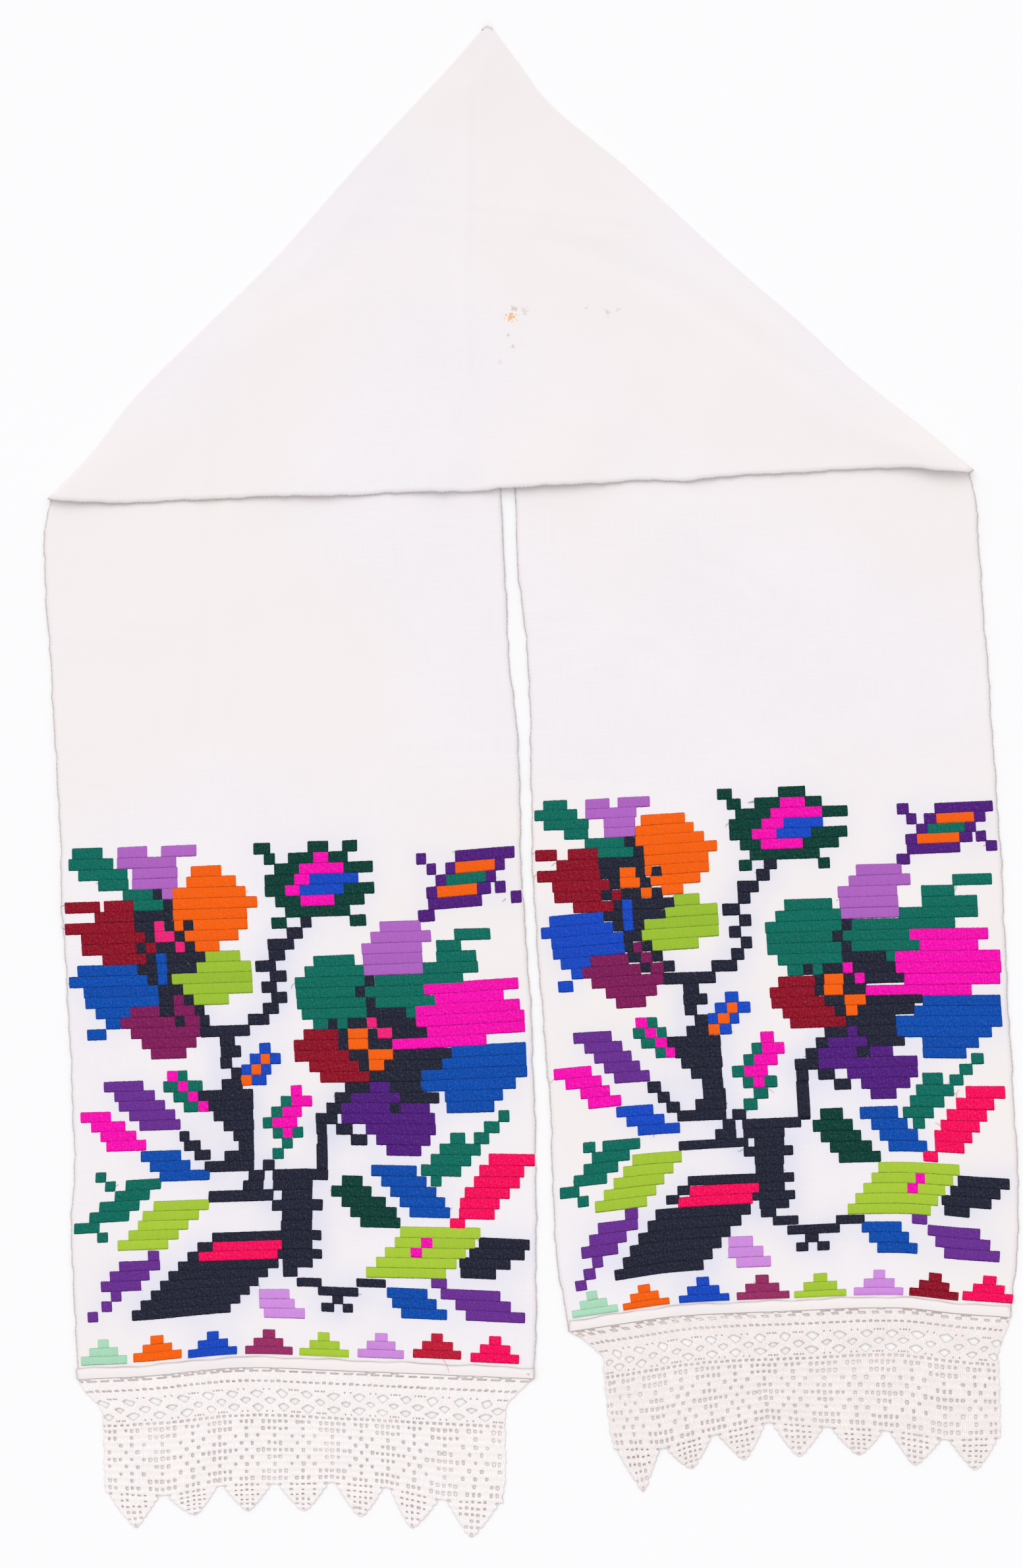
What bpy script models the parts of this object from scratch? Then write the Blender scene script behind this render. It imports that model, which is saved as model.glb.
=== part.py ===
"""Rushnyk: an embroidered ritual towel with crochet lace on both ends, folded to lie flat.

One long strip of homespun is folded over twice on a slant. Its middle crosses over the top as a
triangle, and its two ends run down side by side underneath as two arms. Each end is turned up
into a hem on the face side, and a strip of crochet lace is sewn along that hem.

Frame: +X along the foot of the triangle, +Y up towards its peak, +Z out of the face of the cloth,
which rests on z = 0. Origin: centre of the underside of the whole cloth's box.
Rows of the tables are in millimetres, everything else is in metres.
"""
import bisect
import math
from collections import namedtuple

import bmesh
import bpy
from mathutils import Vector

MM = 0.001
OBJECT_NAME = "rushnyk"

# The cloth and its folds
CLOTH_THICKNESS = 0.0012
FOLD_RADIUS = 0.0010          # of the middle of the cloth, along most of a slanted fold
LEFT_CORNER_RADIUS = 0.0032   # at the foot of each fold, where the cloth springs open
RIGHT_CORNER_RADIUS = 0.0044
CORNER_SPREAD = 0.042         # how far in from the corner the fold stays open
HEM_DEPTH = 0.008
HEM_RADIUS = 0.0009
PEAK_HEIGHT = 0.3765          # of the upper selvedge above the foot of the triangle
FOOT_CORNER = 0.382           # from the middle of the foot to either folded corner
SHEAR_START = 0.060           # how far below the foot the arm's threads start to turn
FOOT_WAVE_REACH = 0.022       # how far up the triangle the waves of its lower selvedge reach
FOOT_LIFT_REACH = 0.034       # how far up the triangle its lifted stretches reach
PEAK_RISE = 0.0025

# The lace
LACE_THICKNESS = 0.0012
SEAM_GAP = 0.0004

# How finely the solids are faceted
ACROSS_CLOTH = 16
ALONG_ARM = 21
ALONG_SHEAR = 9
ALONG_FRONT = 36
ALONG_BEND = 4
FACETS_PER_POINT = 4
DOWN_LACE = 5

# An arm's two selvedges at a distance below the foot of the triangle. "outer" is the selvedge on
# the outline of the whole towel, "inner" is the one that faces the other arm.
ArmRow = namedtuple("ArmRow", "below outer inner")
LEFT_ARM_ROWS = (
    ArmRow(0, -386, -7.5),
    ArmRow(60, -387, -7),
    ArmRow(150, -384, -5),
    ArmRow(215, -383, 0),
    ArmRow(330, -381.5, -0.5),
    ArmRow(430, -378.5, 3.5),
    ArmRow(550, -377.5, 4),
    ArmRow(610, -382, 2.5),
    ArmRow(680, -380.5, 0.5),
    ArmRow(740, -380.5, -3),
)
RIGHT_ARM_ROWS = (
    ArmRow(0, 384.5, 3.5),
    ArmRow(60, 385, 3.5),
    ArmRow(110, 387, 7),
    ArmRow(150, 389, 10),
    ArmRow(240, 392.5, 9.5),
    ArmRow(330, 396, 8.5),
    ArmRow(430, 397.5, 12.5),
    ArmRow(520, 400, 17),
    ArmRow(600, 401.5, 17),
    ArmRow(650, 398.5, 19.5),
    ArmRow(702, 391.5, 27),
)

# How far below the foot each end lies, at a share of the way from its outer to its inner selvedge
HemRow = namedtuple("HemRow", "across below")
LEFT_HEM_ROWS = (
    HemRow(0, 728),
    HemRow(0.15, 727),
    HemRow(0.36, 722.5),
    HemRow(0.6, 728),
    HemRow(0.8, 734.5),
    HemRow(1, 739),
)
RIGHT_HEM_ROWS = (
    HemRow(0, 700.5),
    HemRow(0.12, 696),
    HemRow(0.26, 689.5),
    HemRow(0.5, 689.5),
    HemRow(0.75, 691),
    HemRow(0.88, 696),
    HemRow(1, 701),
)

# The slanted folds: how far the folded edge stands inside a straight slant of 45 degrees that
# starts at the corner, by height above the foot.
FoldRow = namedtuple("FoldRow", "height inside")
LEFT_FOLD_ROWS = (
    FoldRow(0, 0),
    FoldRow(35, 1),
    FoldRow(80, -7),
    FoldRow(130, -4),
    FoldRow(190, 1),
    FoldRow(270, -3.5),
    FoldRow(345, -4),
    FoldRow(376.5, -6.5),
)
RIGHT_FOLD_ROWS = (
    FoldRow(0, 0),
    FoldRow(40, 5),
    FoldRow(80, 12),
    FoldRow(125, 13),
    FoldRow(180, 18),
    FoldRow(260, 20),
    FoldRow(312, 27),
    FoldRow(352, 16),
    FoldRow(376.5, 8.5),
)

# The triangle's lower selvedge from left to right: how far it strays up the cloth from a straight
# line between the corners, and how far it is lifted off the arms below.
FootRow = namedtuple("FootRow", "along rise lift")
FOOT_ROWS = (
    FootRow(-382, 0, 0),
    FootRow(-350, -2.5, 0),
    FootRow(-312, -3.8, 0),
    FootRow(-270, -3, 0.2),
    FootRow(-253, -2.8, 1.6),
    FootRow(-236, -2.6, 0.3),
    FootRow(-205, -2.2, 2.0),
    FootRow(-158, -2.6, 4.5),
    FootRow(-126, -3.4, 0.3),
    FootRow(-89, -1.6, 0.3),
    FootRow(-52, -2.6, 4.5),
    FootRow(-34, -3.6, 0.1),
    FootRow(-10, -1.2, 5.5),
    FootRow(50, 0.2, 6.0),
    FootRow(88, 1.6, 0.4),
    FootRow(110, 2.4, 0.2),
    FootRow(140, 0.6, 0.3),
    FootRow(161, 2.4, 2.2),
    FootRow(175, 3.3, 0.2),
    FootRow(225, 4.8, 0.2),
    FootRow(316, 6.7, 0.2),
    FootRow(334, 5.6, 2.2),
    FootRow(356, 2, 2.4),
    FootRow(382, 0, 0),
)

# A lace's two side edges at a distance below the hem: it is sewn on at the cloth's full width and
# draws in to its own.
LaceSide = namedtuple("LaceSide", "depth outer inner")
LEFT_LACE_SIDES = (
    LaceSide(0, -380, -3.5),
    LaceSide(11, -374, -17),
    LaceSide(22, -363, -26.5),
    LaceSide(34, -360, -28),
    LaceSide(75, -360.5, -29),
    LaceSide(100, -360, -32),
    LaceSide(131, -357, -35),
)
RIGHT_LACE_SIDES = (
    LaceSide(0, 391, 27.5),
    LaceSide(8, 389, 40),
    LaceSide(22, 383, 54),
    LaceSide(32, 381, 54.5),
    LaceSide(70, 381, 57),
    LaceSide(100, 380.5, 61),
    LaceSide(131, 378, 66),
)

# A lace's points from its outer to its inner side: the place of the tip as a share of the way
# across, how deep the tip is below the hem, and how deep the notch on the outer side of it is.
LacePoint = namedtuple("LacePoint", "place tip notch")
LEFT_LACE_POINTS = (
    LacePoint(0.069, 124, 96),
    LacePoint(0.222, 117, 101),
    LacePoint(0.356, 118, 98),
    LacePoint(0.497, 117, 98),
    LacePoint(0.642, 119, 94),
    LacePoint(0.773, 126, 96),
    LacePoint(0.925, 131, 104),
)
RIGHT_LACE_POINTS = (
    LacePoint(0.062, 127, 101),
    LacePoint(0.222, 129, 107),
    LacePoint(0.368, 121, 104),
    LacePoint(0.524, 120, 99),
    LacePoint(0.670, 121, 93),
    LacePoint(0.807, 124, 101),
    LacePoint(0.942, 136, 106),
)

Arm = namedtuple(
    "Arm", "side corner_radius rows hem_rows fold_rows lace_sides lace_points last_notch")
LEFT = Arm(-1, LEFT_CORNER_RADIUS, LEFT_ARM_ROWS, LEFT_HEM_ROWS, LEFT_FOLD_ROWS,
           LEFT_LACE_SIDES, LEFT_LACE_POINTS, 104)
RIGHT = Arm(1, RIGHT_CORNER_RADIUS, RIGHT_ARM_ROWS, RIGHT_HEM_ROWS, RIGHT_FOLD_ROWS,
            RIGHT_LACE_SIDES, RIGHT_LACE_POINTS, 100)


def mix(low, high, share):
    """A number part of the way from low to high."""
    return low + (high - low) * share


def smooth(share):
    """Ease a share between 0 and 1, level at both ends."""
    share = min(max(share, 0.0), 1.0)
    return share * share * (3.0 - 2.0 * share)


def read_row(rows, key, column, at):
    """Read a column of a table at a value of its key, on a smooth curve through the rows."""
    keys = [getattr(row, key) for row in rows]
    values = [getattr(row, column) for row in rows]
    at = min(max(at, keys[0]), keys[-1])
    low = min(max(bisect.bisect_right(keys, at) - 1, 0), len(keys) - 2)

    def slope(index):
        before = max(index - 1, 0)
        after = min(index + 1, len(keys) - 1)
        return (values[after] - values[before]) / (keys[after] - keys[before])

    span = keys[low + 1] - keys[low]
    t = (at - keys[low]) / span
    return (
        values[low] * (1 + 2 * t) * (1 - t) ** 2
        + slope(low) * span * t * (1 - t) ** 2
        + values[low + 1] * t * t * (3 - 2 * t)
        + slope(low + 1) * span * t * t * (t - 1)
    )


# Places on the folded cloth. "across" runs from 0 at the outer selvedge to 1 at the inner one.

def arm_x(arm, across, below):
    """The X of a place on an arm, at a distance below the foot of the triangle."""
    outer = read_row(arm.rows, "below", "outer", below / MM)
    inner = read_row(arm.rows, "below", "inner", below / MM)
    return mix(outer, inner, across) * MM


def hem_below(arm, across):
    """How far below the foot an arm's folded hem lies."""
    return read_row(arm.hem_rows, "across", "below", across) * MM


def fold_outline(arm, across):
    """A place on the outermost edge of a slanted fold, as X and Y."""
    height = across * PEAK_HEIGHT
    inside = read_row(arm.fold_rows, "height", "inside", height / MM) * MM
    return arm.side * (FOOT_CORNER - height - inside), height


def fold_radius(arm, across):
    """The radius of a slanted fold, wider at its foot."""
    spread = math.exp(-(across * PEAK_HEIGHT / CORNER_SPREAD) ** 2)
    return mix(FOLD_RADIUS, arm.corner_radius, spread)


def fold_ruling(arm, across, turn):
    """A place in a slanted fold, where turn runs from 0 on the arm to pi on the triangle."""
    x, y = fold_outline(arm, across)
    radius = fold_radius(arm, across)
    inset = radius * (1.0 - math.sin(turn)) + CLOTH_THICKNESS / 2
    step = inset * math.sqrt(0.5)
    z = CLOTH_THICKNESS / 2 + radius * (1.0 - math.cos(turn))
    return Vector((x - arm.side * step, y - step, z))


def hem_ruling(arm, across, turn):
    """A place in a hem's bend, where turn runs from 0 on the arm to pi on the turned-up flap."""
    below = hem_below(arm, across)
    inset = HEM_RADIUS * (1.0 - math.sin(turn)) + CLOTH_THICKNESS / 2
    z = CLOTH_THICKNESS / 2 + HEM_RADIUS * (1.0 - math.cos(turn))
    return Vector((arm_x(arm, across, below), inset - below, z))


def sheared_point(arm, across, share):
    """A place between the straight part of an arm and its slanted fold."""
    fold = fold_ruling(arm, across, 0.0)
    y = mix(-SHEAR_START, fold.y, share)
    pull = fold.x - arm_x(arm, across, 0.0)
    x = arm_x(arm, across, max(-y, 0.0)) + pull * share ** 4
    return Vector((x, y, CLOTH_THICKNESS / 2))


def arm_half(arm):
    """The rulings of one arm from its hem flap up to its slanted fold, as lists of points."""
    shares = [column / ACROSS_CLOTH for column in range(ACROSS_CLOTH + 1)]
    rulings = [[hem_ruling(arm, across, math.pi) + Vector((0, HEM_DEPTH, 0)) for across in shares]]
    for step in range(ALONG_BEND, -1, -1):
        turn = math.pi * step / ALONG_BEND
        rulings.append([hem_ruling(arm, across, turn) for across in shares])
    for step in range(1, ALONG_ARM + 1):
        ruling = []
        for across in shares:
            below = mix(-hem_ruling(arm, across, 0.0).y, SHEAR_START, step / ALONG_ARM)
            ruling.append(Vector((arm_x(arm, across, below), -below, CLOTH_THICKNESS / 2)))
        rulings.append(ruling)
    for step in range(1, ALONG_SHEAR):
        rulings.append([sheared_point(arm, across, step / ALONG_SHEAR) for across in shares])
    for step in range(ALONG_BEND + 1):
        turn = math.pi * step / ALONG_BEND
        rulings.append([fold_ruling(arm, across, turn) for across in shares])
    return rulings


def front_point(left, right, share):
    """A place on the triangle, part of the way between its two slanted folds."""
    point = left.lerp(right, share)
    near = left if share < 0.5 else right
    inward = min(share, 1.0 - share) * (right.x - left.x) / CORNER_SPREAD
    level = CLOTH_THICKNESS / 2 + 2 * FOLD_RADIUS
    lift = read_row(FOOT_ROWS, "along", "lift", point.x / MM) * MM
    rise = read_row(FOOT_ROWS, "along", "rise", point.x / MM) * MM
    point.z = mix(level, near.z, math.exp(-inward * inward))
    point.z += lift * math.exp(-(point.y / FOOT_LIFT_REACH) ** 2)
    peak_share = smooth((point.y - 0.9 * PEAK_HEIGHT) / (0.1 * PEAK_HEIGHT))
    point.y += rise * math.exp(-(point.y / FOOT_WAVE_REACH) ** 2)
    point.y += PEAK_RISE * math.sin(math.pi * share) * peak_share
    return point


def cloth_rulings():
    """Every ruling of the strip from the left hem flap to the right one."""
    left = arm_half(LEFT)
    right = arm_half(RIGHT)
    front = []
    for step in range(1, ALONG_FRONT):
        share = step / ALONG_FRONT
        front.append([front_point(a, b, share) for a, b in zip(left[-1], right[-1])])
    return left + front + right[::-1]


def lace_form(arm, place):
    """How a lace runs at a place counted in points, from 0 at its outer side.

    Returns:
        The share of the way across the lace, and how deep it reaches below its hem.
    """
    points = arm.lace_points
    index = min(int(place), len(points) - 1)
    tips = [point.place for point in points]
    bounds = [0.0] + [(a + b) / 2 for a, b in zip(tips, tips[1:])] + [1.0]
    notches = [point.notch for point in points] + [arm.last_notch]
    within = place - index
    if within < 0.5:
        nearness = within * 2.0
        along = mix(bounds[index], tips[index], nearness)
        depth = mix(notches[index], points[index].tip, nearness)
    else:
        nearness = (1.0 - within) * 2.0
        along = mix(bounds[index + 1], tips[index], nearness)
        depth = mix(notches[index + 1], points[index].tip, nearness)
    return along, depth * MM


def lace_point(arm, along, depth):
    """A place on a lace at a depth below its hem."""
    outer = read_row(arm.lace_sides, "depth", "outer", depth / MM)
    inner = read_row(arm.lace_sides, "depth", "inner", depth / MM)
    x = mix(outer, inner, along) * MM
    return Vector((x, -hem_below(arm, along) - SEAM_GAP - depth, LACE_THICKNESS / 2))


def lace_rulings(arm):
    """The lines of a lace from its outer to its inner side, each from the hem down to the points."""
    columns = len(arm.lace_points) * FACETS_PER_POINT
    rulings = []
    for column in range(columns + 1):
        along, deepest = lace_form(arm, column / FACETS_PER_POINT)
        rulings.append([lace_point(arm, along, deepest * row / DOWN_LACE)
                        for row in range(DOWN_LACE + 1)])
    return rulings


# Objects

def sheet_object(name, rulings, thickness, material, collection):
    """Make one sheet solid: a grid whose lines are the rulings, thickened to both sides.

    Args:
        name: the object's name.
        rulings: equal lists of points, one list for each line of the grid.
        thickness: the sheet's thickness.
        material: its material.
        collection: the collection that takes it.

    Returns:
        The new object.
    """
    columns = len(rulings) - 1
    rows = len(rulings[0]) - 1
    form = bmesh.new()
    bmesh.ops.create_grid(form, x_segments=columns, y_segments=rows, size=0.5)
    for vertex in form.verts:
        column = round((vertex.co.x + 0.5) * columns)
        row = round((vertex.co.y + 0.5) * rows)
        vertex.co = rulings[column][row]
    mesh = bpy.data.meshes.new(name)
    form.to_mesh(mesh)
    form.free()
    mesh.materials.append(material)
    sheet = bpy.data.objects.new(name, mesh)
    collection.objects.link(sheet)
    solidify = sheet.modifiers.new("thickness", "SOLIDIFY")
    solidify.thickness = thickness
    solidify.offset = 0.0
    return sheet


def fabric_material(name, colour, roughness):
    """A plain woven or crocheted finish."""
    material = bpy.data.materials.new(name)
    material.use_nodes = True
    shader = material.node_tree.nodes["Principled BSDF"]
    shader.inputs["Base Color"].default_value = (*colour, 1.0)
    shader.inputs["Roughness"].default_value = roughness
    shader.inputs["Metallic"].default_value = 0.0
    return material


def stand_on_origin(pieces, base):
    """Hang the pieces on an empty that brings the centre of their underside to the origin."""
    depsgraph = bpy.context.evaluated_depsgraph_get()
    corners = []
    for piece in pieces:
        solid = piece.evaluated_get(depsgraph)
        corners.extend(vertex.co for vertex in solid.data.vertices)
    for axis in range(2):
        low = min(corner[axis] for corner in corners)
        high = max(corner[axis] for corner in corners)
        base.location[axis] = -(low + high) / 2
    base.location.z = -min(corner.z for corner in corners)
    for piece in pieces:
        piece.parent = base


def main():
    """Build the rushnyk: its cloth and its two laces."""
    for old in list(bpy.data.objects):
        bpy.data.objects.remove(old, do_unlink=True)
    collection = bpy.data.collections.new(OBJECT_NAME)
    bpy.context.scene.collection.children.link(collection)
    base = bpy.data.objects.new(OBJECT_NAME + "_base", None)
    collection.objects.link(base)

    homespun = fabric_material("homespun", (0.87, 0.83, 0.85), 0.85)
    crochet = fabric_material("crochet", (0.86, 0.81, 0.82), 0.9)
    pieces = [sheet_object("cloth", cloth_rulings(), CLOTH_THICKNESS, homespun, collection)]
    for name, arm in (("lace_left", LEFT), ("lace_right", RIGHT)):
        pieces.append(sheet_object(name, lace_rulings(arm), LACE_THICKNESS, crochet, collection))
    stand_on_origin(pieces, base)


main()
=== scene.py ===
"""The looks of a rushnyk: white homespun with two worked ends and crochet edgings, folded to lie flat.

Places on the folded cloth are in millimetres in the maker's own frame: X along the foot of the
triangle from its middle, Y up from the foot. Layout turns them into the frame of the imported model.
"""
import logging
import math
import random
import re
from dataclasses import dataclass
from enum import Enum
from typing import Any, Callable, NamedTuple, Sequence

import bpy
import numpy as np
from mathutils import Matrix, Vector


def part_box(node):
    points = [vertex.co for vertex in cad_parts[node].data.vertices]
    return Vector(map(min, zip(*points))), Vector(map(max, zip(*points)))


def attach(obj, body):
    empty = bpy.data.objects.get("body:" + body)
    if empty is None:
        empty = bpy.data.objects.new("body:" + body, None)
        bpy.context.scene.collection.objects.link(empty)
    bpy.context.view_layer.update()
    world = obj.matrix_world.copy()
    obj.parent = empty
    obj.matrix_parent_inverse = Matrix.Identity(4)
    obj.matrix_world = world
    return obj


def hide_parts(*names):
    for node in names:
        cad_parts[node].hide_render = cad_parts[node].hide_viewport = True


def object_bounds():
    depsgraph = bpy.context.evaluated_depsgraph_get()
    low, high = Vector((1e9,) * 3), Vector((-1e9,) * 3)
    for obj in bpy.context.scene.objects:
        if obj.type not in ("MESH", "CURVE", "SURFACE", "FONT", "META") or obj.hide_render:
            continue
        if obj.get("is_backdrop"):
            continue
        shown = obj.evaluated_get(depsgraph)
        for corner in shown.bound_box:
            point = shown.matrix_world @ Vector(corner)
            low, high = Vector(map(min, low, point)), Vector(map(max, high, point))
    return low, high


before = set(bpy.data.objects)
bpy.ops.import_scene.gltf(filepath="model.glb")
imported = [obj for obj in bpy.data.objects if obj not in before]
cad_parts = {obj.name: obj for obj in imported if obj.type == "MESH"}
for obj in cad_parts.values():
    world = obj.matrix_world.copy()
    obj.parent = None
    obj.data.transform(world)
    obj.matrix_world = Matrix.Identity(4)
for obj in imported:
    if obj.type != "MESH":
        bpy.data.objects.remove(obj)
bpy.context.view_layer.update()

MM = 0.001
log = logging.getLogger("rushnyk")

# The cloth, in millimetres
CLOTH_WIDTH = 380.0
CLOTH_LENGTH = 2210.0
CLOTH_THICKNESS = 0.8
CLOTH_REST = 0.5              # the middle of its thickness above the surface it lies on
FOLD_RADIUS = 1.0
CORNER_SPREAD = 42.0          # how far in from a corner the slanted fold stays open
HEM_RADIUS = 0.5
HEM_FLAP = 8.0
FLAP_SHARES = (1.0, 0.5)      # where the flap's rulings lie, as shares of its reach
PEAK_HEIGHT = 376.5
FOOT_CORNER = 382.0
SHEAR_START = 60.0
FOOT_WAVE_REACH = 22.0
FOOT_LIFT_REACH = 34.0
FOOT_SETTLED = 0.6            # how much of its lift the foot keeps under its own weight
PEAK_RISE = 2.5               # how far the fold at the peak is rounded upwards
PEAK_SHARE = 0.1              # in which share of the height it is rounded
SEAM_GAP = 0.4

# The chart that the stitches are counted on
CHART_COLUMNS = 47.0
CHART_MARGIN = 0.3            # the first counted step, in columns from the left selvedge

Floats = np.ndarray
Pair = tuple[float, float]
Triple = tuple[float, float, float]
Tone = tuple[float, float, float, float]


class ArmRow(NamedTuple):
    """An arm's two selvedges at a distance below the foot of the triangle."""

    below: float
    outer: float
    inner: float


class HemRow(NamedTuple):
    """How far below the foot an end lies, at a share of the way from its outer selvedge."""

    across: float
    below: float


class FoldRow(NamedTuple):
    """How far a slanted fold stands inside a straight slant, by height above the foot."""

    height: float
    inside: float


class FootRow(NamedTuple):
    """How far the triangle's lower selvedge strays up the cloth and is lifted off the arms."""

    along: float
    rise: float
    lift: float


class LaceSide(NamedTuple):
    """A lace's two side edges at a distance below the hem."""

    depth: float
    outer: float
    inner: float


class LacePoint(NamedTuple):
    """The place of a tip as a share of the way across, its depth, and its outer notch's depth."""

    place: float
    tip: float
    notch: float


class ChartRow(NamedTuple):
    """How far below the foot a row of the chart starts, at the middle of the arm."""

    row: float
    below: float


FOOT_ROWS = (
    FootRow(-382, 0, 0),
    FootRow(-350, -2.5, 0),
    FootRow(-312, -3.8, 0),
    FootRow(-270, -3, 0.2),
    FootRow(-253, -2.8, 1.6),
    FootRow(-236, -2.6, 0.3),
    FootRow(-205, -2.2, 2.0),
    FootRow(-158, -2.6, 4.5),
    FootRow(-126, -3.4, 0.3),
    FootRow(-89, -1.6, 0.3),
    FootRow(-52, -2.6, 4.5),
    FootRow(-34, -3.6, 0.1),
    FootRow(-10, -1.2, 5.5),
    FootRow(50, 0.2, 6.0),
    FootRow(88, 1.6, 0.4),
    FootRow(110, 2.4, 0.2),
    FootRow(140, 0.6, 0.3),
    FootRow(161, 2.4, 2.2),
    FootRow(175, 3.3, 0.2),
    FootRow(225, 4.8, 0.2),
    FootRow(316, 6.7, 0.2),
    FootRow(334, 5.6, 2.2),
    FootRow(356, 2, 2.4),
    FootRow(382, 0, 0),
)


def smooth(share: Floats) -> Floats:
    """Ease shares between 0 and 1, level at both ends."""
    share = np.clip(share, 0.0, 1.0)
    return share * share * (3.0 - 2.0 * share)


def mix(low: Floats, high: Floats, share: Floats) -> Floats:
    """Numbers part of the way from low to high."""
    return low + (high - low) * share


class Wave(NamedTuple):
    """A wave of an edge that strays: its length and its reach, in millimetres."""

    length: float
    reach: float


def strayed(waves: Sequence[Wave], along: Floats, shifts: Sequence[float]) -> Floats:
    """How far an edge strays.

    Args:
        waves: the waves that add up to its line.
        along: places along the edge, in millimetres.
        shifts: the phase at which each wave starts, in radians.

    Returns:
        How far the edge lies from its smooth line at each place.
    """
    return sum(wave.reach * np.sin(along * math.tau / wave.length + shift)
               for wave, shift in zip(waves, shifts))


def slow_waves(draw: random.Random, x: Floats, y: Floats, count: int, lengths: Pair,
               height: float) -> Floats:
    """The slow unevenness of something soft that lies flat.

    Args:
        draw: where the random numbers come from.
        x: X of the places.
        y: Y of the places.
        count: how many waves add up to it.
        lengths: the shortest and the longest wave.
        height: how high each of them is.

    Returns:
        The height at each place, never less than 0.
    """
    total = np.zeros_like(x)
    for _ in range(count):
        length = draw.uniform(*lengths)
        bearing = draw.uniform(0.0, math.pi)
        travel = x * math.cos(bearing) + y * math.sin(bearing)
        turn = travel * math.tau / length + draw.uniform(0.0, math.tau)
        total += height * (0.5 + 0.5 * np.sin(turn))
    return total


class Curve:
    """A smooth curve through the rows of a table, whose first column is the place."""

    def __init__(self, rows: Sequence[Any], column: str) -> None:
        """Take the table.

        Args:
            rows: its rows.
            column: the name of the column that the curve runs through.
        """
        self.places = np.array([row[0] for row in rows], dtype=float)
        self.values = np.array([getattr(row, column) for row in rows], dtype=float)
        order = np.arange(len(rows))
        before = np.maximum(order - 1, 0)
        after = np.minimum(order + 1, len(rows) - 1)
        rise = self.values[after] - self.values[before]
        self.slopes = rise / (self.places[after] - self.places[before])

    def at(self, place: Floats) -> Floats:
        """The curve's values at these places.

        Args:
            place: places along the first column.

        Returns:
            The column's value at each of them.
        """
        place = np.clip(place, self.places[0], self.places[-1])
        low = np.searchsorted(self.places, place, side="right") - 1
        low = np.clip(low, 0, len(self.places) - 2)
        span = self.places[low + 1] - self.places[low]
        share = (place - self.places[low]) / span
        rest = 1.0 - share
        start = self.values[low] * (1.0 + 2.0 * share) + self.slopes[low] * span * share
        end = self.values[low + 1] * (3.0 - 2.0 * share) - self.slopes[low + 1] * span * rest
        return start * rest ** 2 + end * share ** 2


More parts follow.
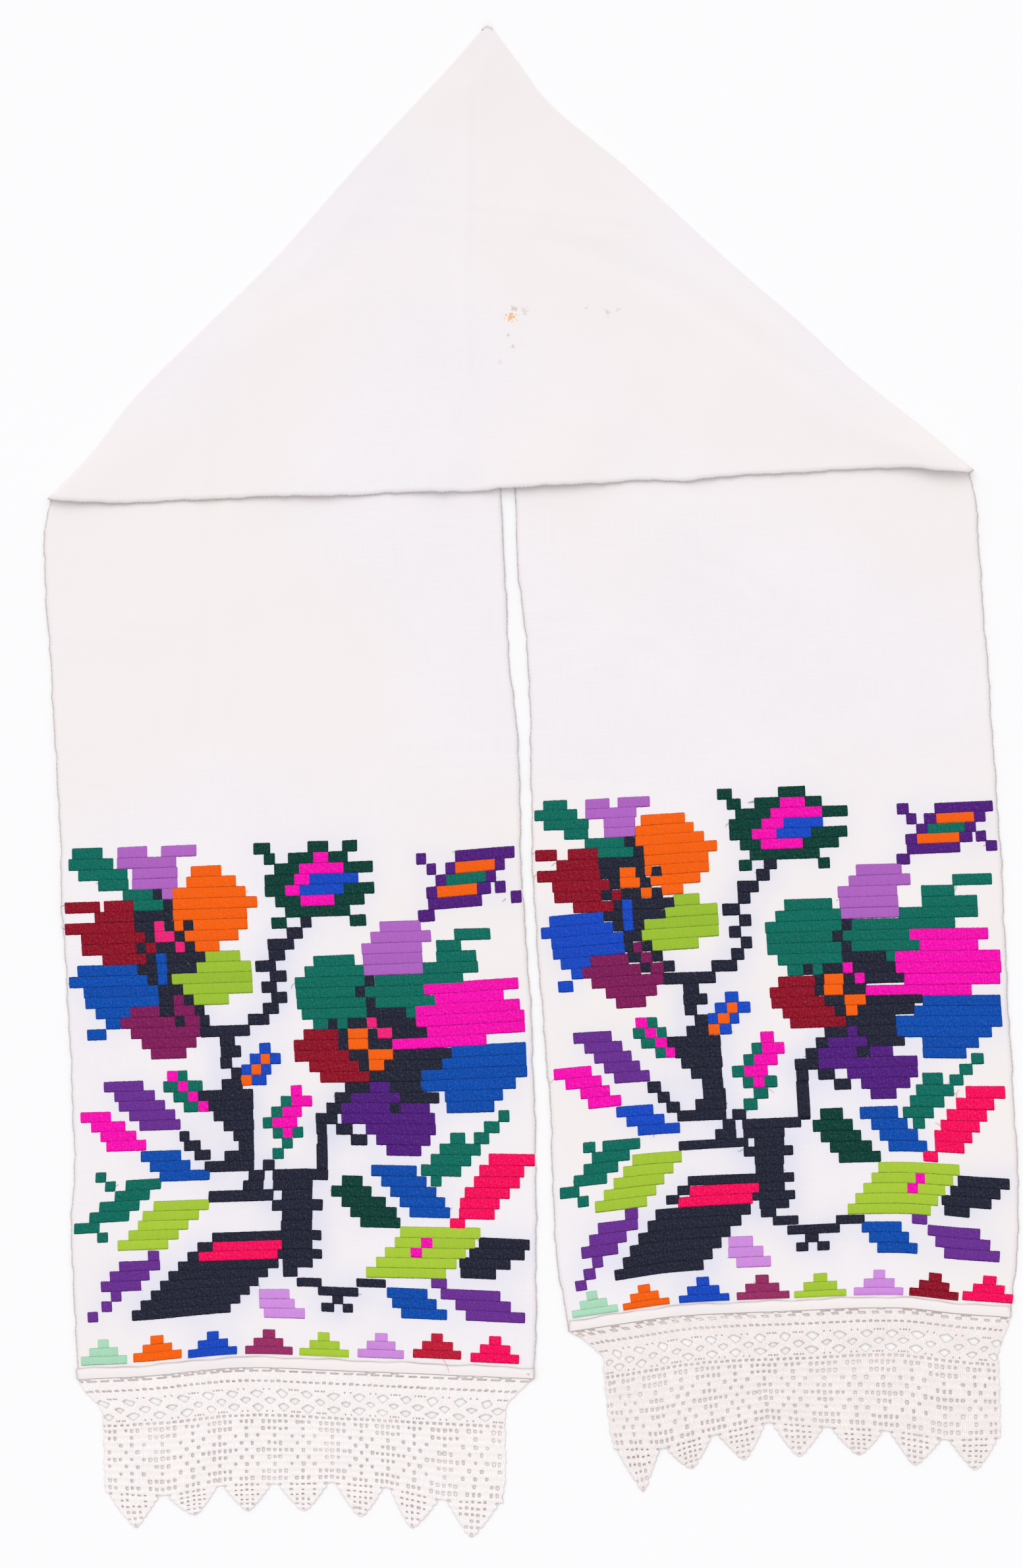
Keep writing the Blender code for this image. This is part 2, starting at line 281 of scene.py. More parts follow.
@dataclass(frozen=True)
class ArmPlan:
    """How one arm of the folded cloth lies, with the lace on its end, in millimetres.

    "across" runs from 0 at the arm's outer selvedge to 1 at its inner one. The rows of the
    embroidery come to bend with the hem between the two rows of the chart given by outer_pull on
    the arm's outer half, and by inner_pull on its inner half.
    """

    name: str
    side: int
    corner_radius: float
    arm_rows: tuple[ArmRow, ...]
    hem_rows: tuple[HemRow, ...]
    fold_rows: tuple[FoldRow, ...]
    lace_sides: tuple[LaceSide, ...]
    lace_points: tuple[LacePoint, ...]
    last_notch: float
    chart_rows: tuple[ChartRow, ...]
    outer_pull: Pair
    inner_pull: Pair

    def x_at(self, across: Floats, below: Floats) -> Floats:
        """The X of places on the arm.

        Args:
            across: shares of the way across the cloth.
            below: distances below the foot of the triangle.

        Returns:
            The X of each place.
        """
        outer = Curve(self.arm_rows, "outer").at(below)
        inner = Curve(self.arm_rows, "inner").at(below)
        return mix(outer, inner, across)

    def hem_below(self, across: Floats) -> Floats:
        """How far below the foot the folded hem lies."""
        return Curve(self.hem_rows, "below").at(across)

    def fold_line(self, across: Floats, turn: float) -> Floats:
        """One ruling of the slanted fold.

        Args:
            across: shares of the way across the cloth.
            turn: 0 where the fold leaves the arm, pi where it reaches the triangle.

        Returns:
            A row of points.
        """
        height = across * PEAK_HEIGHT
        inside = Curve(self.fold_rows, "inside").at(height)
        spread = np.exp(-(height / CORNER_SPREAD) ** 2)
        radius = mix(FOLD_RADIUS, self.corner_radius, spread)
        inset = radius * (1.0 - math.sin(turn)) + CLOTH_THICKNESS / 2
        step = inset * math.sqrt(0.5)
        x = self.side * (FOOT_CORNER - height - inside - step)
        z = CLOTH_REST + radius * (1.0 - math.cos(turn))
        return np.stack([x, height - step, z], axis=-1)

    def hem_line(self, across: Floats, turn: float) -> Floats:
        """One ruling of the hem's bend.

        Args:
            across: shares of the way across the cloth.
            turn: 0 where the bend leaves the arm, pi where it reaches the turned-up flap.

        Returns:
            A row of points.
        """
        below = self.hem_below(across)
        inset = HEM_RADIUS * (1.0 - math.sin(turn)) + CLOTH_THICKNESS / 2
        z = np.full_like(across, CLOTH_REST + HEM_RADIUS * (1.0 - math.cos(turn)))
        return np.stack([self.x_at(across, below), inset - below, z], axis=-1)

    def straight_line(self, across: Floats, share: float) -> Floats:
        """One ruling of the arm's straight part.

        Args:
            across: shares of the way across the cloth.
            share: 0 at the hem, 1 where the slant begins.

        Returns:
            A row of points.
        """
        below = mix(-self.hem_line(across, 0.0)[:, 1], SHEAR_START, share)
        rest = np.full_like(across, CLOTH_REST)
        return np.stack([self.x_at(across, below), -below, rest], axis=-1)

    def slant_line(self, across: Floats, share: float) -> Floats:
        """One ruling between the arm's straight part and its slanted fold.

        Args:
            across: shares of the way across the cloth.
            share: 0 at the straight part, 1 at the fold.

        Returns:
            A row of points.
        """
        fold = self.fold_line(across, 0.0)
        y = mix(-SHEAR_START, fold[:, 1], share)
        pull = fold[:, 0] - self.x_at(across, np.zeros_like(across))
        x = self.x_at(across, np.maximum(-y, 0.0)) + pull * share ** 4
        return np.stack([x, y, np.full_like(across, CLOTH_REST)], axis=-1)

    def chart_spot(self, column: Floats, row: Floats) -> tuple[Floats, Floats]:
        """Places of the embroidery chart on the arm.

        Args:
            column: columns from the arm's left selvedge.
            row: rows from the top of the chart.

        Returns:
            The X and Y of each place.
        """
        share = column / CHART_COLUMNS
        across = share if self.side < 0 else 1.0 - share
        hem_bow = self.hem_below(across) - self.hem_below(np.array(0.5))
        outer, inner = (smooth((row - first) / (last - first))
                        for first, last in (self.outer_pull, self.inner_pull))
        nearness = np.where(across < 0.5, outer, inner)
        below = Curve(self.chart_rows, "below").at(row)
        below = below + hem_bow * nearness - CHART_TILT * (share - 0.5) * (1.0 - nearness)
        return self.x_at(across, below), -below

    def lace_spot(self, along: Floats, depth: Floats) -> tuple[Floats, Floats]:
        """Places on the lace.

        Args:
            along: shares of the way across it.
            depth: depths below the hem.

        Returns:
            The X and Y of each place.
        """
        outer = Curve(self.lace_sides, "outer").at(depth)
        inner = Curve(self.lace_sides, "inner").at(depth)
        return mix(outer, inner, along), -self.hem_below(along) - SEAM_GAP - depth


CHART_TILT = 1.0              # how much higher the chart's upper rows stand on the right, in mm

LEFT_ARM = ArmPlan(
    name="left",
    side=-1,
    corner_radius=3.2,
    arm_rows=(
        ArmRow(0, -386, -7.5),
        ArmRow(60, -387, -7),
        ArmRow(150, -384, -5),
        ArmRow(215, -382.5, 0),
        ArmRow(268, -380.7, -0.3),
        ArmRow(330, -381.3, -0.5),
        ArmRow(430, -378.5, 3.5),
        ArmRow(550, -377.5, 4),
        ArmRow(610, -382, 2.5),
        ArmRow(680, -380.5, 0.5),
        ArmRow(740, -380.5, -3),
    ),
    hem_rows=(
        HemRow(0, 728),
        HemRow(0.15, 727),
        HemRow(0.36, 722.5),
        HemRow(0.6, 728),
        HemRow(0.8, 733.5),
        HemRow(1, 739),
    ),
    fold_rows=(
        FoldRow(0, 0),
        FoldRow(35, 1),
        FoldRow(80, -7),
        FoldRow(130, -4),
        FoldRow(190, 1),
        FoldRow(270, -3.5),
        FoldRow(345, -4),
        FoldRow(376.5, -6.5),
    ),
    lace_sides=(
        LaceSide(0, -380, -3.5),
        LaceSide(11, -374, -17),
        LaceSide(22, -363, -26.5),
        LaceSide(34, -360, -28),
        LaceSide(75, -360.5, -29),
        LaceSide(100, -360, -32),
        LaceSide(131, -357, -35),
    ),
    lace_points=(
        LacePoint(0.069, 124, 96),
        LacePoint(0.222, 117, 101),
        LacePoint(0.356, 118, 98),
        LacePoint(0.497, 117, 98),
        LacePoint(0.642, 119, 94),
        LacePoint(0.773, 126, 96),
        LacePoint(0.925, 131, 104),
    ),
    last_notch=104,
    chart_rows=(
        ChartRow(0, 288.5),
        ChartRow(17, 438),
        ChartRow(25, 506.5),
        ChartRow(33, 574),
        ChartRow(47, 683),
        ChartRow(48.5, 693.2),
        ChartRow(51.5, 714),
    ),
    outer_pull=(40.0, 48.0),
    inner_pull=(12.0, 40.0),
)
RIGHT_ARM = ArmPlan(
    name="right",
    side=1,
    corner_radius=4.4,
    arm_rows=(
        ArmRow(0, 384.5, 3.5),
        ArmRow(60, 385, 3.5),
        ArmRow(110, 387, 7),
        ArmRow(150, 389, 10),
        ArmRow(240, 392.5, 9.5),
        ArmRow(330, 396, 8.5),
        ArmRow(430, 397.5, 12.5),
        ArmRow(520, 400, 17),
        ArmRow(600, 401.5, 17),
        ArmRow(650, 398.5, 19.5),
        ArmRow(702, 391.5, 27),
    ),
    hem_rows=(
        HemRow(0, 700.5),
        HemRow(0.12, 696),
        HemRow(0.26, 689.5),
        HemRow(0.5, 689.5),
        HemRow(0.75, 691),
        HemRow(0.88, 696),
        HemRow(1, 701),
    ),
    fold_rows=(
        FoldRow(0, 0),
        FoldRow(40, 5),
        FoldRow(80, 12),
        FoldRow(125, 13),
        FoldRow(180, 18),
        FoldRow(260, 20),
        FoldRow(312, 27),
        FoldRow(352, 16),
        FoldRow(376.5, 8.5),
    ),
    lace_sides=(
        LaceSide(0, 391, 27.5),
        LaceSide(8, 389, 40),
        LaceSide(22, 383, 54),
        LaceSide(32, 381, 54.5),
        LaceSide(70, 381, 57),
        LaceSide(100, 380.5, 61),
        LaceSide(131, 378, 66),
    ),
    lace_points=(
        LacePoint(0.062, 127, 101),
        LacePoint(0.222, 129, 107),
        LacePoint(0.368, 121, 104),
        LacePoint(0.524, 120, 99),
        LacePoint(0.670, 121, 93),
        LacePoint(0.807, 124, 101),
        LacePoint(0.942, 136, 106),
    ),
    last_notch=100,
    chart_rows=(
        ChartRow(-1, 253),
        ChartRow(0, 261.7),
        ChartRow(17, 410),
        ChartRow(25, 478),
        ChartRow(33, 544.5),
        ChartRow(47, 648.5),
        ChartRow(48.5, 658.5),
        ChartRow(51.57, 679),
    ),
    outer_pull=(20.0, 48.0),
    inner_pull=(20.0, 48.0),
)
ARMS = (LEFT_ARM, RIGHT_ARM)


@dataclass(frozen=True)
class Layout:
    """Where the maker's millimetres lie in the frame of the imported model."""

    shift_x: float
    shift_y: float

    @classmethod
    def over_cad(cls, points: Floats) -> "Layout":
        """Lay the cloth's own box over the box of its solid.

        Args:
            points: every point of the cloth, in the maker's millimetres.

        Returns:
            The layout that brings the two boxes' centres together.
        """
        low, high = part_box("cloth")
        own = (points.reshape(-1, 3).min(axis=0) + points.reshape(-1, 3).max(axis=0)) / 2 * MM
        return cls((low[0] + high[0]) / 2 - own[0], (low[1] + high[1]) / 2 - own[1])

    def place(self, points: Floats) -> Floats:
        """Points in the model's frame, in metres."""
        return points * MM + np.array([self.shift_x, self.shift_y, 0.0])


class Crease(NamedTuple):
    """A soft line pressed in the cloth: a ridge, or with a negative height a trough."""

    points: tuple[Pair, ...]
    width: float
    height: float


TRIANGLE_CREASES = (
    Crease(((-26, 328), (-34, 154), (-33, -1)), 6, 1.3),
    Crease(((-13, 351), (-16, 275)), 5, 0.5),
    Crease(((-133, 241), (-20, 223), (103, 207)), 5, -0.8),
    Crease(((35, 203), (146, 154), (284, 54), (329, 30)), 12, -1.6),
    Crease(((75, 38), (83, 4)), 6, -0.8),
    Crease(((170, 75), (170, 1)), 5, -0.8),
    Crease(((-221, 137), (-135, 180)), 12, -1.0),
    Crease(((-115, 270), (-139, 219)), 6, -0.8),
    Crease(((-250, 93), (-252, 14)), 6, 0.5),
)
ARM_CREASES = (
    Crease(((-250, -8), (-250, -99), (-265, -211)), 9, -1.3),
    Crease(((-380, -103), (-296, -112)), 5, -0.7),
    Crease(((-379, -241), (-339, -243)), 5, -0.7),
    Crease(((-96, -219), (-6, -219)), 5, -0.8),
    Crease(((-69, -251), (-13, -247)), 5, -0.6),
    Crease(((135, -37), (146, -63), (190, -84), (212, -101), (211, -130)), 7, -1.2),
    Crease(((224, -74), (250, -143)), 7, 1.1),
    Crease(((14, -115), (110, -121)), 5, -0.8),
    Crease(((16, -158), (75, -143)), 5, -0.8),
    Crease(((16, -245), (95, -250)), 5, -0.7),
    Crease(((82, -129), (137, -159)), 6, -0.8),
)


@dataclass(frozen=True)
class Relief:
    """The small rises of a cloth that lies flat: its creases and a slow unevenness."""

    creases: tuple[Crease, ...]
    seed: int
    swell: float = 0.22
    waves: int = 7
    wave_lengths: Pair = (55.0, 240.0)
    shoulder: float = 2.2     # how many times wider a trough's shoulders are than its bottom

    def height(self, x: Floats, y: Floats) -> Floats:
        """How far the cloth stands above its lowest lie, never less than 0.

        Args:
            x: X of the places.
            y: Y of the places.

        Returns:
            The height at each place.
        """
        total = slow_waves(random.Random(self.seed), x, y, self.waves, self.wave_lengths, self.swell)
        for crease in self.creases:
            total += self.pressed(crease, x, y)
        return total

    def pressed(self, crease: Crease, x: Floats, y: Floats) -> Floats:
        """The height that one crease adds.

        Args:
            crease: the crease.
            x: X of the places.
            y: Y of the places.

        Returns:
            The height at each place.
        """
        gap = np.full_like(x, np.inf)
        for start, end in zip(crease.points, crease.points[1:]):
            run = (end[0] - start[0], end[1] - start[1])
            share = ((x - start[0]) * run[0] + (y - start[1]) * run[1]) / (run[0] ** 2 + run[1] ** 2)
            share = np.clip(share, 0.0, 1.0)
            off = np.hypot(x - start[0] - share * run[0], y - start[1] - share * run[1])
            gap = np.minimum(gap, off)
        line = np.exp(-(gap / crease.width) ** 2)
        if crease.height > 0:
            return crease.height * line
        shoulders = np.exp(-(gap / (crease.width * self.shoulder)) ** 2)
        return -crease.height * (shoulders - line)


TRIANGLE_RELIEF = Relief(TRIANGLE_CREASES, seed=11)
ARM_RELIEF = Relief(ARM_CREASES, seed=23)
RELIEF_START = 12.0           # how far below the foot the arms' relief comes in
RELIEF_DELAY = 0.2            # how late it begins, as a share of that
RELIEF_INSET = 34.0           # how far in from a slanted fold the triangle's relief comes in


def arm_rise(x: Floats, y: Floats) -> Floats:
    """How far an arm's creases lift it, in millimetres; under the triangle it lies flat."""
    return ARM_RELIEF.height(x, y) * smooth(-y / RELIEF_START - RELIEF_DELAY)


def arm_top(x: Floats, y: Floats) -> Floats:
    """The height of an arm's upper face, in millimetres."""
    return CLOTH_REST + CLOTH_THICKNESS / 2 + arm_rise(x, y)


class ShaderDraft:
    """A material while its nodes are being wired."""

    def __init__(self, name: str) -> None:
        """Start a material with a Principled shader."""
        self.material = bpy.data.materials.new(name)
        self.material.use_nodes = True
        self.tree = self.material.node_tree
        self.shader = self.tree.nodes["Principled BSDF"]

    def node(self, kind: str, inputs: dict[Any, Any] | None = None, **settings: Any) -> Any:
        """Add a node.

        Args:
            kind: the node's type, without its "ShaderNode" start.
            inputs: values or sockets for its inputs, by name or number.
            settings: its own properties.

        Returns:
            The new node.
        """
        node = self.tree.nodes.new("ShaderNode" + kind)
        for name, value in settings.items():
            setattr(node, name, value)
        for name, value in (inputs or {}).items():
            if isinstance(value, bpy.types.NodeSocket):
                self.tree.links.new(value, node.inputs[name])
            else:
                node.inputs[name].default_value = value
        return node

    def laid(self, name: str) -> tuple[Any, Any, Any]:
        """Read texture places.

        Args:
            name: their name.

        Returns:
            The places as they are, and each of their two numbers.
        """
        vector = self.node("UVMap", uv_map=name).outputs["UV"]
        split = self.node("SeparateXYZ", {"Vector": vector})
        return vector, split.outputs["X"], split.outputs["Y"]

    def level(self, name: str) -> Any:
        """The numbers stored in the mesh under this name."""
        return self.node("Attribute", attribute_name=name).outputs["Fac"]

    def place(self) -> Any:
        """The place on the piece, in metres."""
        return self.node("TexCoord").outputs["Object"]

    def math(self, operation: str, *values: Any) -> Any:
        """The result of a Math node on sockets or numbers."""
        return self.node("Math", dict(enumerate(values)), operation=operation).outputs[0]

    def ease(self, value: Any, low: float, high: float, start: float = 0.0, end: float = 1.0) -> Any:
        """Ease a value into another range.

        Args:
            value: the socket to ease.
            low: the value that becomes start.
            high: the value that becomes end.
            start: where the new range starts.
            end: where it ends.

        Returns:
            The eased value, which stays in its new range.
        """
        inputs = {"Value": value, "From Min": low, "From Max": high, "To Min": start, "To Max": end}
        node = self.node("MapRange", inputs, interpolation_type="SMOOTHSTEP")
        return node.outputs["Result"]

    def blend(self, share: Any, low: Any, high: Any, kind: str = "MIX") -> Any:
        """Mix two colours.

        Args:
            share: how much of the second, from 0 to 1.
            low: the first colour.
            high: the second colour.
            kind: the way to mix them.

        Returns:
            The mixed colour.
        """
        node = self.node("Mix", data_type="RGBA", blend_type=kind)
        for socket, value in ((node.inputs[0], share), (node.inputs[6], low), (node.inputs[7], high)):
            if isinstance(value, bpy.types.NodeSocket):
                self.tree.links.new(value, socket)
            else:
                socket.default_value = value
        return node.outputs[2]

    def noise(self, vector: Any, scale: float, detail: float = 2.0) -> Any:
        """A noise between 0 and 1 over a vector."""
        inputs = {"Vector": vector, "Scale": scale, "Detail": detail}
        return self.node("TexNoise", inputs).outputs["Fac"]

    def stretched(self, vector: Any, scale: Triple) -> Any:
        """A vector scaled by its own factor along each axis."""
        inputs = {"Vector": vector, "Scale": scale}
        return self.node("Mapping", inputs).outputs["Vector"]

    def bump(self, height: Any, distance: float, strength: float = 1.0) -> None:
        """Give the shader a relief.

        Args:
            height: a height between 0 and 1.
            distance: how far 1 stands above 0, in metres.
            strength: the share of it that shows.
        """
        inputs = {"Height": height, "Distance": distance, "Strength": strength}
        normal = self.node("Bump", inputs).outputs["Normal"]
        self.tree.links.new(normal, self.shader.inputs["Normal"])

    def paint(self, colour: Any) -> None:
        """Give the shader its base colour."""
        self.tree.links.new(colour, self.shader.inputs["Base Color"])

    def set(self, **values: Any) -> None:
        """Set the shader's own numbers, with _ for the spaces of their names."""
        for name, value in values.items():
            self.shader.inputs[name.replace("_", " ")].default_value = value


def tone(red: int, green: int, blue: int) -> Tone:
    """Turn a screen colour into the shader's light values.

    Args:
        red: its red, from 0 to 255.
        green: its green.
        blue: its blue.

    Returns:
        The colour, opaque.
    """
    values = [channel / 255.0 for channel in (red, green, blue)]
    light = [v / 12.92 if v <= 0.04045 else ((v + 0.055) / 1.055) ** 2.4 for v in values]
    return (light[0], light[1], light[2], 1.0)


def shaded(colour: Tone, factor: float) -> Tone:
    """A colour made lighter or darker, kept within 1."""
    return tuple(min(channel * factor, 1.0) for channel in colour[:3]) + (1.0,)


def mixed(low: Tone, high: Tone, share: float) -> Tone:
    """A colour part of the way from low to high."""
    return tuple(a + (b - a) * share for a, b in zip(low, high))


class Stain(NamedTuple):
    """A small mark on the cloth, in the maker's millimetres."""

    x: float
    y: float
    radius: float
    colour: Tone
    strength: float


ORANGE_MARK = tone(240, 178, 88)
FAINT_MARK = tone(192, 166, 152)
BROWN_MARK = tone(150, 100, 70)
STAINS = (
    Stain(4.4, 137.5, 4.4, ORANGE_MARK, 0.8),
    Stain(7.2, 144.5, 2.8, FAINT_MARK, 0.5),
    Stain(15.5, 142, 3.4, FAINT_MARK, 0.3),
    Stain(2, 122.5, 1.8, FAINT_MARK, 0.45),
    Stain(5.4, 113, 2.2, FAINT_MARK, 0.45),
    Stain(-5, 101, 2.0, FAINT_MARK, 0.25),
    Stain(67, 143, 1.6, FAINT_MARK, 0.35),
    Stain(84, 139, 3.0, FAINT_MARK, 0.35),
    Stain(93, 141, 2.0, FAINT_MARK, 0.3),
    Stain(-8, -735, 1.5, BROWN_MARK, 0.4),
)


@dataclass(frozen=True)
class HomespunFinish:
    """Bleached plain weave with uneven threads, aged patches and hems, a few old marks, a bluish tint
    near the darker blocks, and a darker edge line that is partly its own thread and partly painted
    contact shadow.
    """

    colour: Tone = tone(243, 238, 241)
    # the bluish tint that the cloth takes near the darker blocks
    tint_near_blocks: Tone = tone(196, 204, 238)
    # edge: the edge's darker thread together with painted contact shadow
    edge: Tone = tone(190, 172, 162)
    aged: Tone = tone(243, 237, 235)
    hem: Tone = tone(244, 237, 236)
    thread_pitch: float = 0.00078
    slub_length: float = 0.018
    crumbs: float = 480.0         # how fine the ragged rims of the stains are
    edge_dots: Triple = (40.0, 620.0, 1.0)
    edge_width: float = 0.0014
    edge_share: float = 0.85      # how strongly the darker edge line shows: its own darker thread and painted contact shadow
    aged_share: float = 0.8
    relief: float = 0.00007

    def make(self, layout: Layout) -> bpy.types.Material:
        """Build the material.

        Args:
            layout: where the stains' places lie.

        Returns:
            The material.
        """
        draft = ShaderDraft("homespun_finish")
        threads, across, along = draft.laid("threads")
        place = draft.place()

        fine, coarse = 1.0 / self.thread_pitch, 1.0 / self.slub_length
        warp = draft.noise(draft.stretched(threads, (fine, coarse, 1.0)), 0.8, 1.0)
        weft = draft.noise(draft.stretched(threads, (coarse, fine, 1.0)), 0.8, 1.0)
        slubs = draft.math("MULTIPLY", draft.math("ADD", warp, weft), 0.5)
        turn = math.tau / self.thread_pitch
        over = draft.math("SINE", draft.math("MULTIPLY", across, turn))
        under = draft.math("SINE", draft.math("MULTIPLY", along, turn))
        weave = draft.math("MULTIPLY", over, under)
        height = draft.math("MULTIPLY_ADD", weave, 0.12, slubs)

        cloud = draft.noise(place, 9.0, 3.0)
        uneven = draft.math("MULTIPLY_ADD", slubs, 0.6, draft.math("MULTIPLY", cloud, 0.4))
        colour = draft.blend(draft.ease(uneven, 0.3, 0.7), shaded(self.colour, 0.972),
                             shaded(self.colour, 1.015))
        aged = draft.ease(draft.noise(place, 3.2, 1.0), 0.42, 0.62, 0.0, self.aged_share)
        colour = draft.blend(aged, colour, self.aged)
        colour = draft.blend(draft.level("hem"), colour, self.hem)
        # a patchy bluish tint near the darker blocks
        block_tint = draft.level("block_tint")
        patches = draft.ease(draft.noise(place, 40.0, 3.0), 0.2, 0.8, 0.5, 1.0)
        patchy = draft.math("MULTIPLY", block_tint, patches)
        colour = draft.blend(patchy, colour, self.tint_near_blocks)
        for stain in STAINS:
            colour = self.stained(draft, colour, place, stain, layout)
        # A darker, broken line along the selvedges and ends: partly the edge's own darker thread, partly
        # painted contact shadow where the edge meets the sheet below.
        rim = draft.math("MINIMUM", across, draft.math("SUBTRACT", CLOTH_WIDTH * MM, across))
        end = draft.math("MINIMUM", along, draft.math("SUBTRACT", CLOTH_LENGTH * MM, along))
        rim = draft.math("MINIMUM", rim, end)
        broken = draft.noise(draft.stretched(threads, self.edge_dots), 1.0, 1.0)
        dots = draft.ease(broken, 0.35, 0.6, 0.45, 1.0)
        nearness = draft.ease(rim, self.edge_width, 0.0, 0.0, self.edge_share)
        rim_share = draft.math("MULTIPLY", nearness, dots)
        colour = draft.blend(rim_share, colour, self.edge)
        draft.paint(colour)
        draft.bump(height, self.relief)
        draft.set(Roughness=0.86, Sheen_Weight=0.12, Sheen_Roughness=0.6, Specular_IOR_Level=0.2)
        return draft.material

    def stained(self, draft: ShaderDraft, colour: Any, place: Any, stain: Stain,
                layout: Layout) -> Any:
        """Lay one small stain over a colour, uneven at its rim.

        Args:
            draft: the material.
            colour: the colour below.
            place: the place on the piece.
            stain: the stain.
            layout: where its place lies.

        Returns:
            The stained colour.
        """
        centre = layout.place(np.array([stain.x, stain.y, 0.0]))
        flat = draft.node("VectorMath", {0: place, 1: (1.0, 1.0, 0.0)}, operation="MULTIPLY")
        inputs = {0: flat.outputs[0], 1: tuple(centre)}
        away = draft.node("VectorMath", inputs, operation="DISTANCE").outputs["Value"]
        crumbs = draft.ease(draft.noise(place, self.crumbs), 0.35, 0.65, 0.5, 1.9)
        ragged = draft.math("MULTIPLY", away, crumbs)
        share = draft.ease(ragged, stain.radius * MM, stain.radius * MM * 0.3, 0.0, stain.strength)
        return draft.blend(share, colour, stain.colour)


class Thread(Enum):
    """The embroidery threads, each with its dye."""

    TEAL = tone(0, 105, 90)
    DARK_GREEN = tone(0, 60, 50)
    BLACK = tone(31, 34, 51)
    HOT_PINK = tone(255, 0, 172)
    RED_PINK = tone(255, 0, 87)
    ROSE = tone(240, 30, 118)
    ORANGE = tone(255, 95, 0)
    DARK_RED = tone(139, 8, 34)
    CARMINE = tone(188, 20, 52)
    PLUM = tone(125, 23, 86)
    ROSEWOOD = tone(148, 42, 96)
    BLUE = tone(0, 74, 168)
    BRIGHT_BLUE = tone(14, 70, 188)
    LIME = tone(151, 188, 48)
    SPRING_GREEN = tone(164, 197, 53)
    LILAC = tone(172, 98, 190)
    PALE_LILAC = tone(204, 138, 219)
    PURPLE = tone(78, 26, 121)
    VIOLET = tone(102, 44, 141)
    MINT = tone(169, 217, 186)


FLUFF = tone(225, 220, 230)    # the pale fluff of worn cotton


@dataclass(frozen=True)
class ThreadFinish:
    """Loosely plied cotton laid in satin stitch: soft gloss, fine fibres, and painted shade in the
    grooves where it dips into the cloth.
    """

    thread: Thread
    dip_shade: float = 0.4        # how dark the painted shade is where the stitches dip into the cloth
    fleck: float = 0.24
    fluff: float = 0.25
    fibres: Triple = (2200.0, 5.0, 1.0)
    fuzz: Triple = (1300.0, 420.0, 1.0)
    felt: float = 430.0
    lean: float = math.radians(35.0)
    relief: float = 0.00016

    def make(self) -> bpy.types.Material:
        """Build the material of this thread.

        Returns:
            The material.
        """
        draft = ShaderDraft("thread_" + self.thread.name.lower())
        colour = self.thread.value
        stitch, _, height = draft.laid("stitches")
        shade = draft.level("shade")
        place = draft.place()
        leaning = draft.node("Mapping", {"Vector": place, "Rotation": (0.0, 0.0, self.lean)}).outputs[0]
        fibres = draft.noise(draft.stretched(stitch, self.fibres), 1.0, 2.0)
        fuzz = draft.noise(draft.stretched(leaning, self.fuzz), 1.0, 3.0)
        felt = draft.noise(place, self.felt, 4.0)
        light = draft.math("MULTIPLY_ADD", fibres, 0.25, draft.math("MULTIPLY", shade, 0.4))
        light = draft.math("MULTIPLY_ADD", felt, 0.35, light)
        body = draft.blend(light, shaded(colour, 0.8), shaded(colour, 1.25))
        flecks = draft.ease(fuzz, 0.42, 0.78, 0.0, self.fleck)
        worn = draft.blend(flecks, body, mixed(colour, FLUFF, self.fluff))
        # Painted shade in the grooves between rows: darkest at the stitches' lower ends, lighter at their
        # upper ends.
        ragged = draft.math("MULTIPLY_ADD", felt, 0.12, height)
        dip = draft.ease(ragged, 0.09, 0.2, self.dip_shade, 1.0)
        top = draft.ease(ragged, 1.05, 0.96, 0.7, 1.0)
        groove_shade = draft.math("MULTIPLY", dip, top)
        groove_shade_tone = draft.node("CombineColor", {0: groove_shade, 1: groove_shade, 2: groove_shade})
        draft.paint(draft.blend(1.0, worn, groove_shade_tone.outputs[0], "MULTIPLY"))
        draft.bump(draft.math("ADD", fibres, draft.math("ADD", felt, fuzz)), self.relief)
        draft.set(Roughness=0.7, Specular_IOR_Level=0.03)
        return draft.material


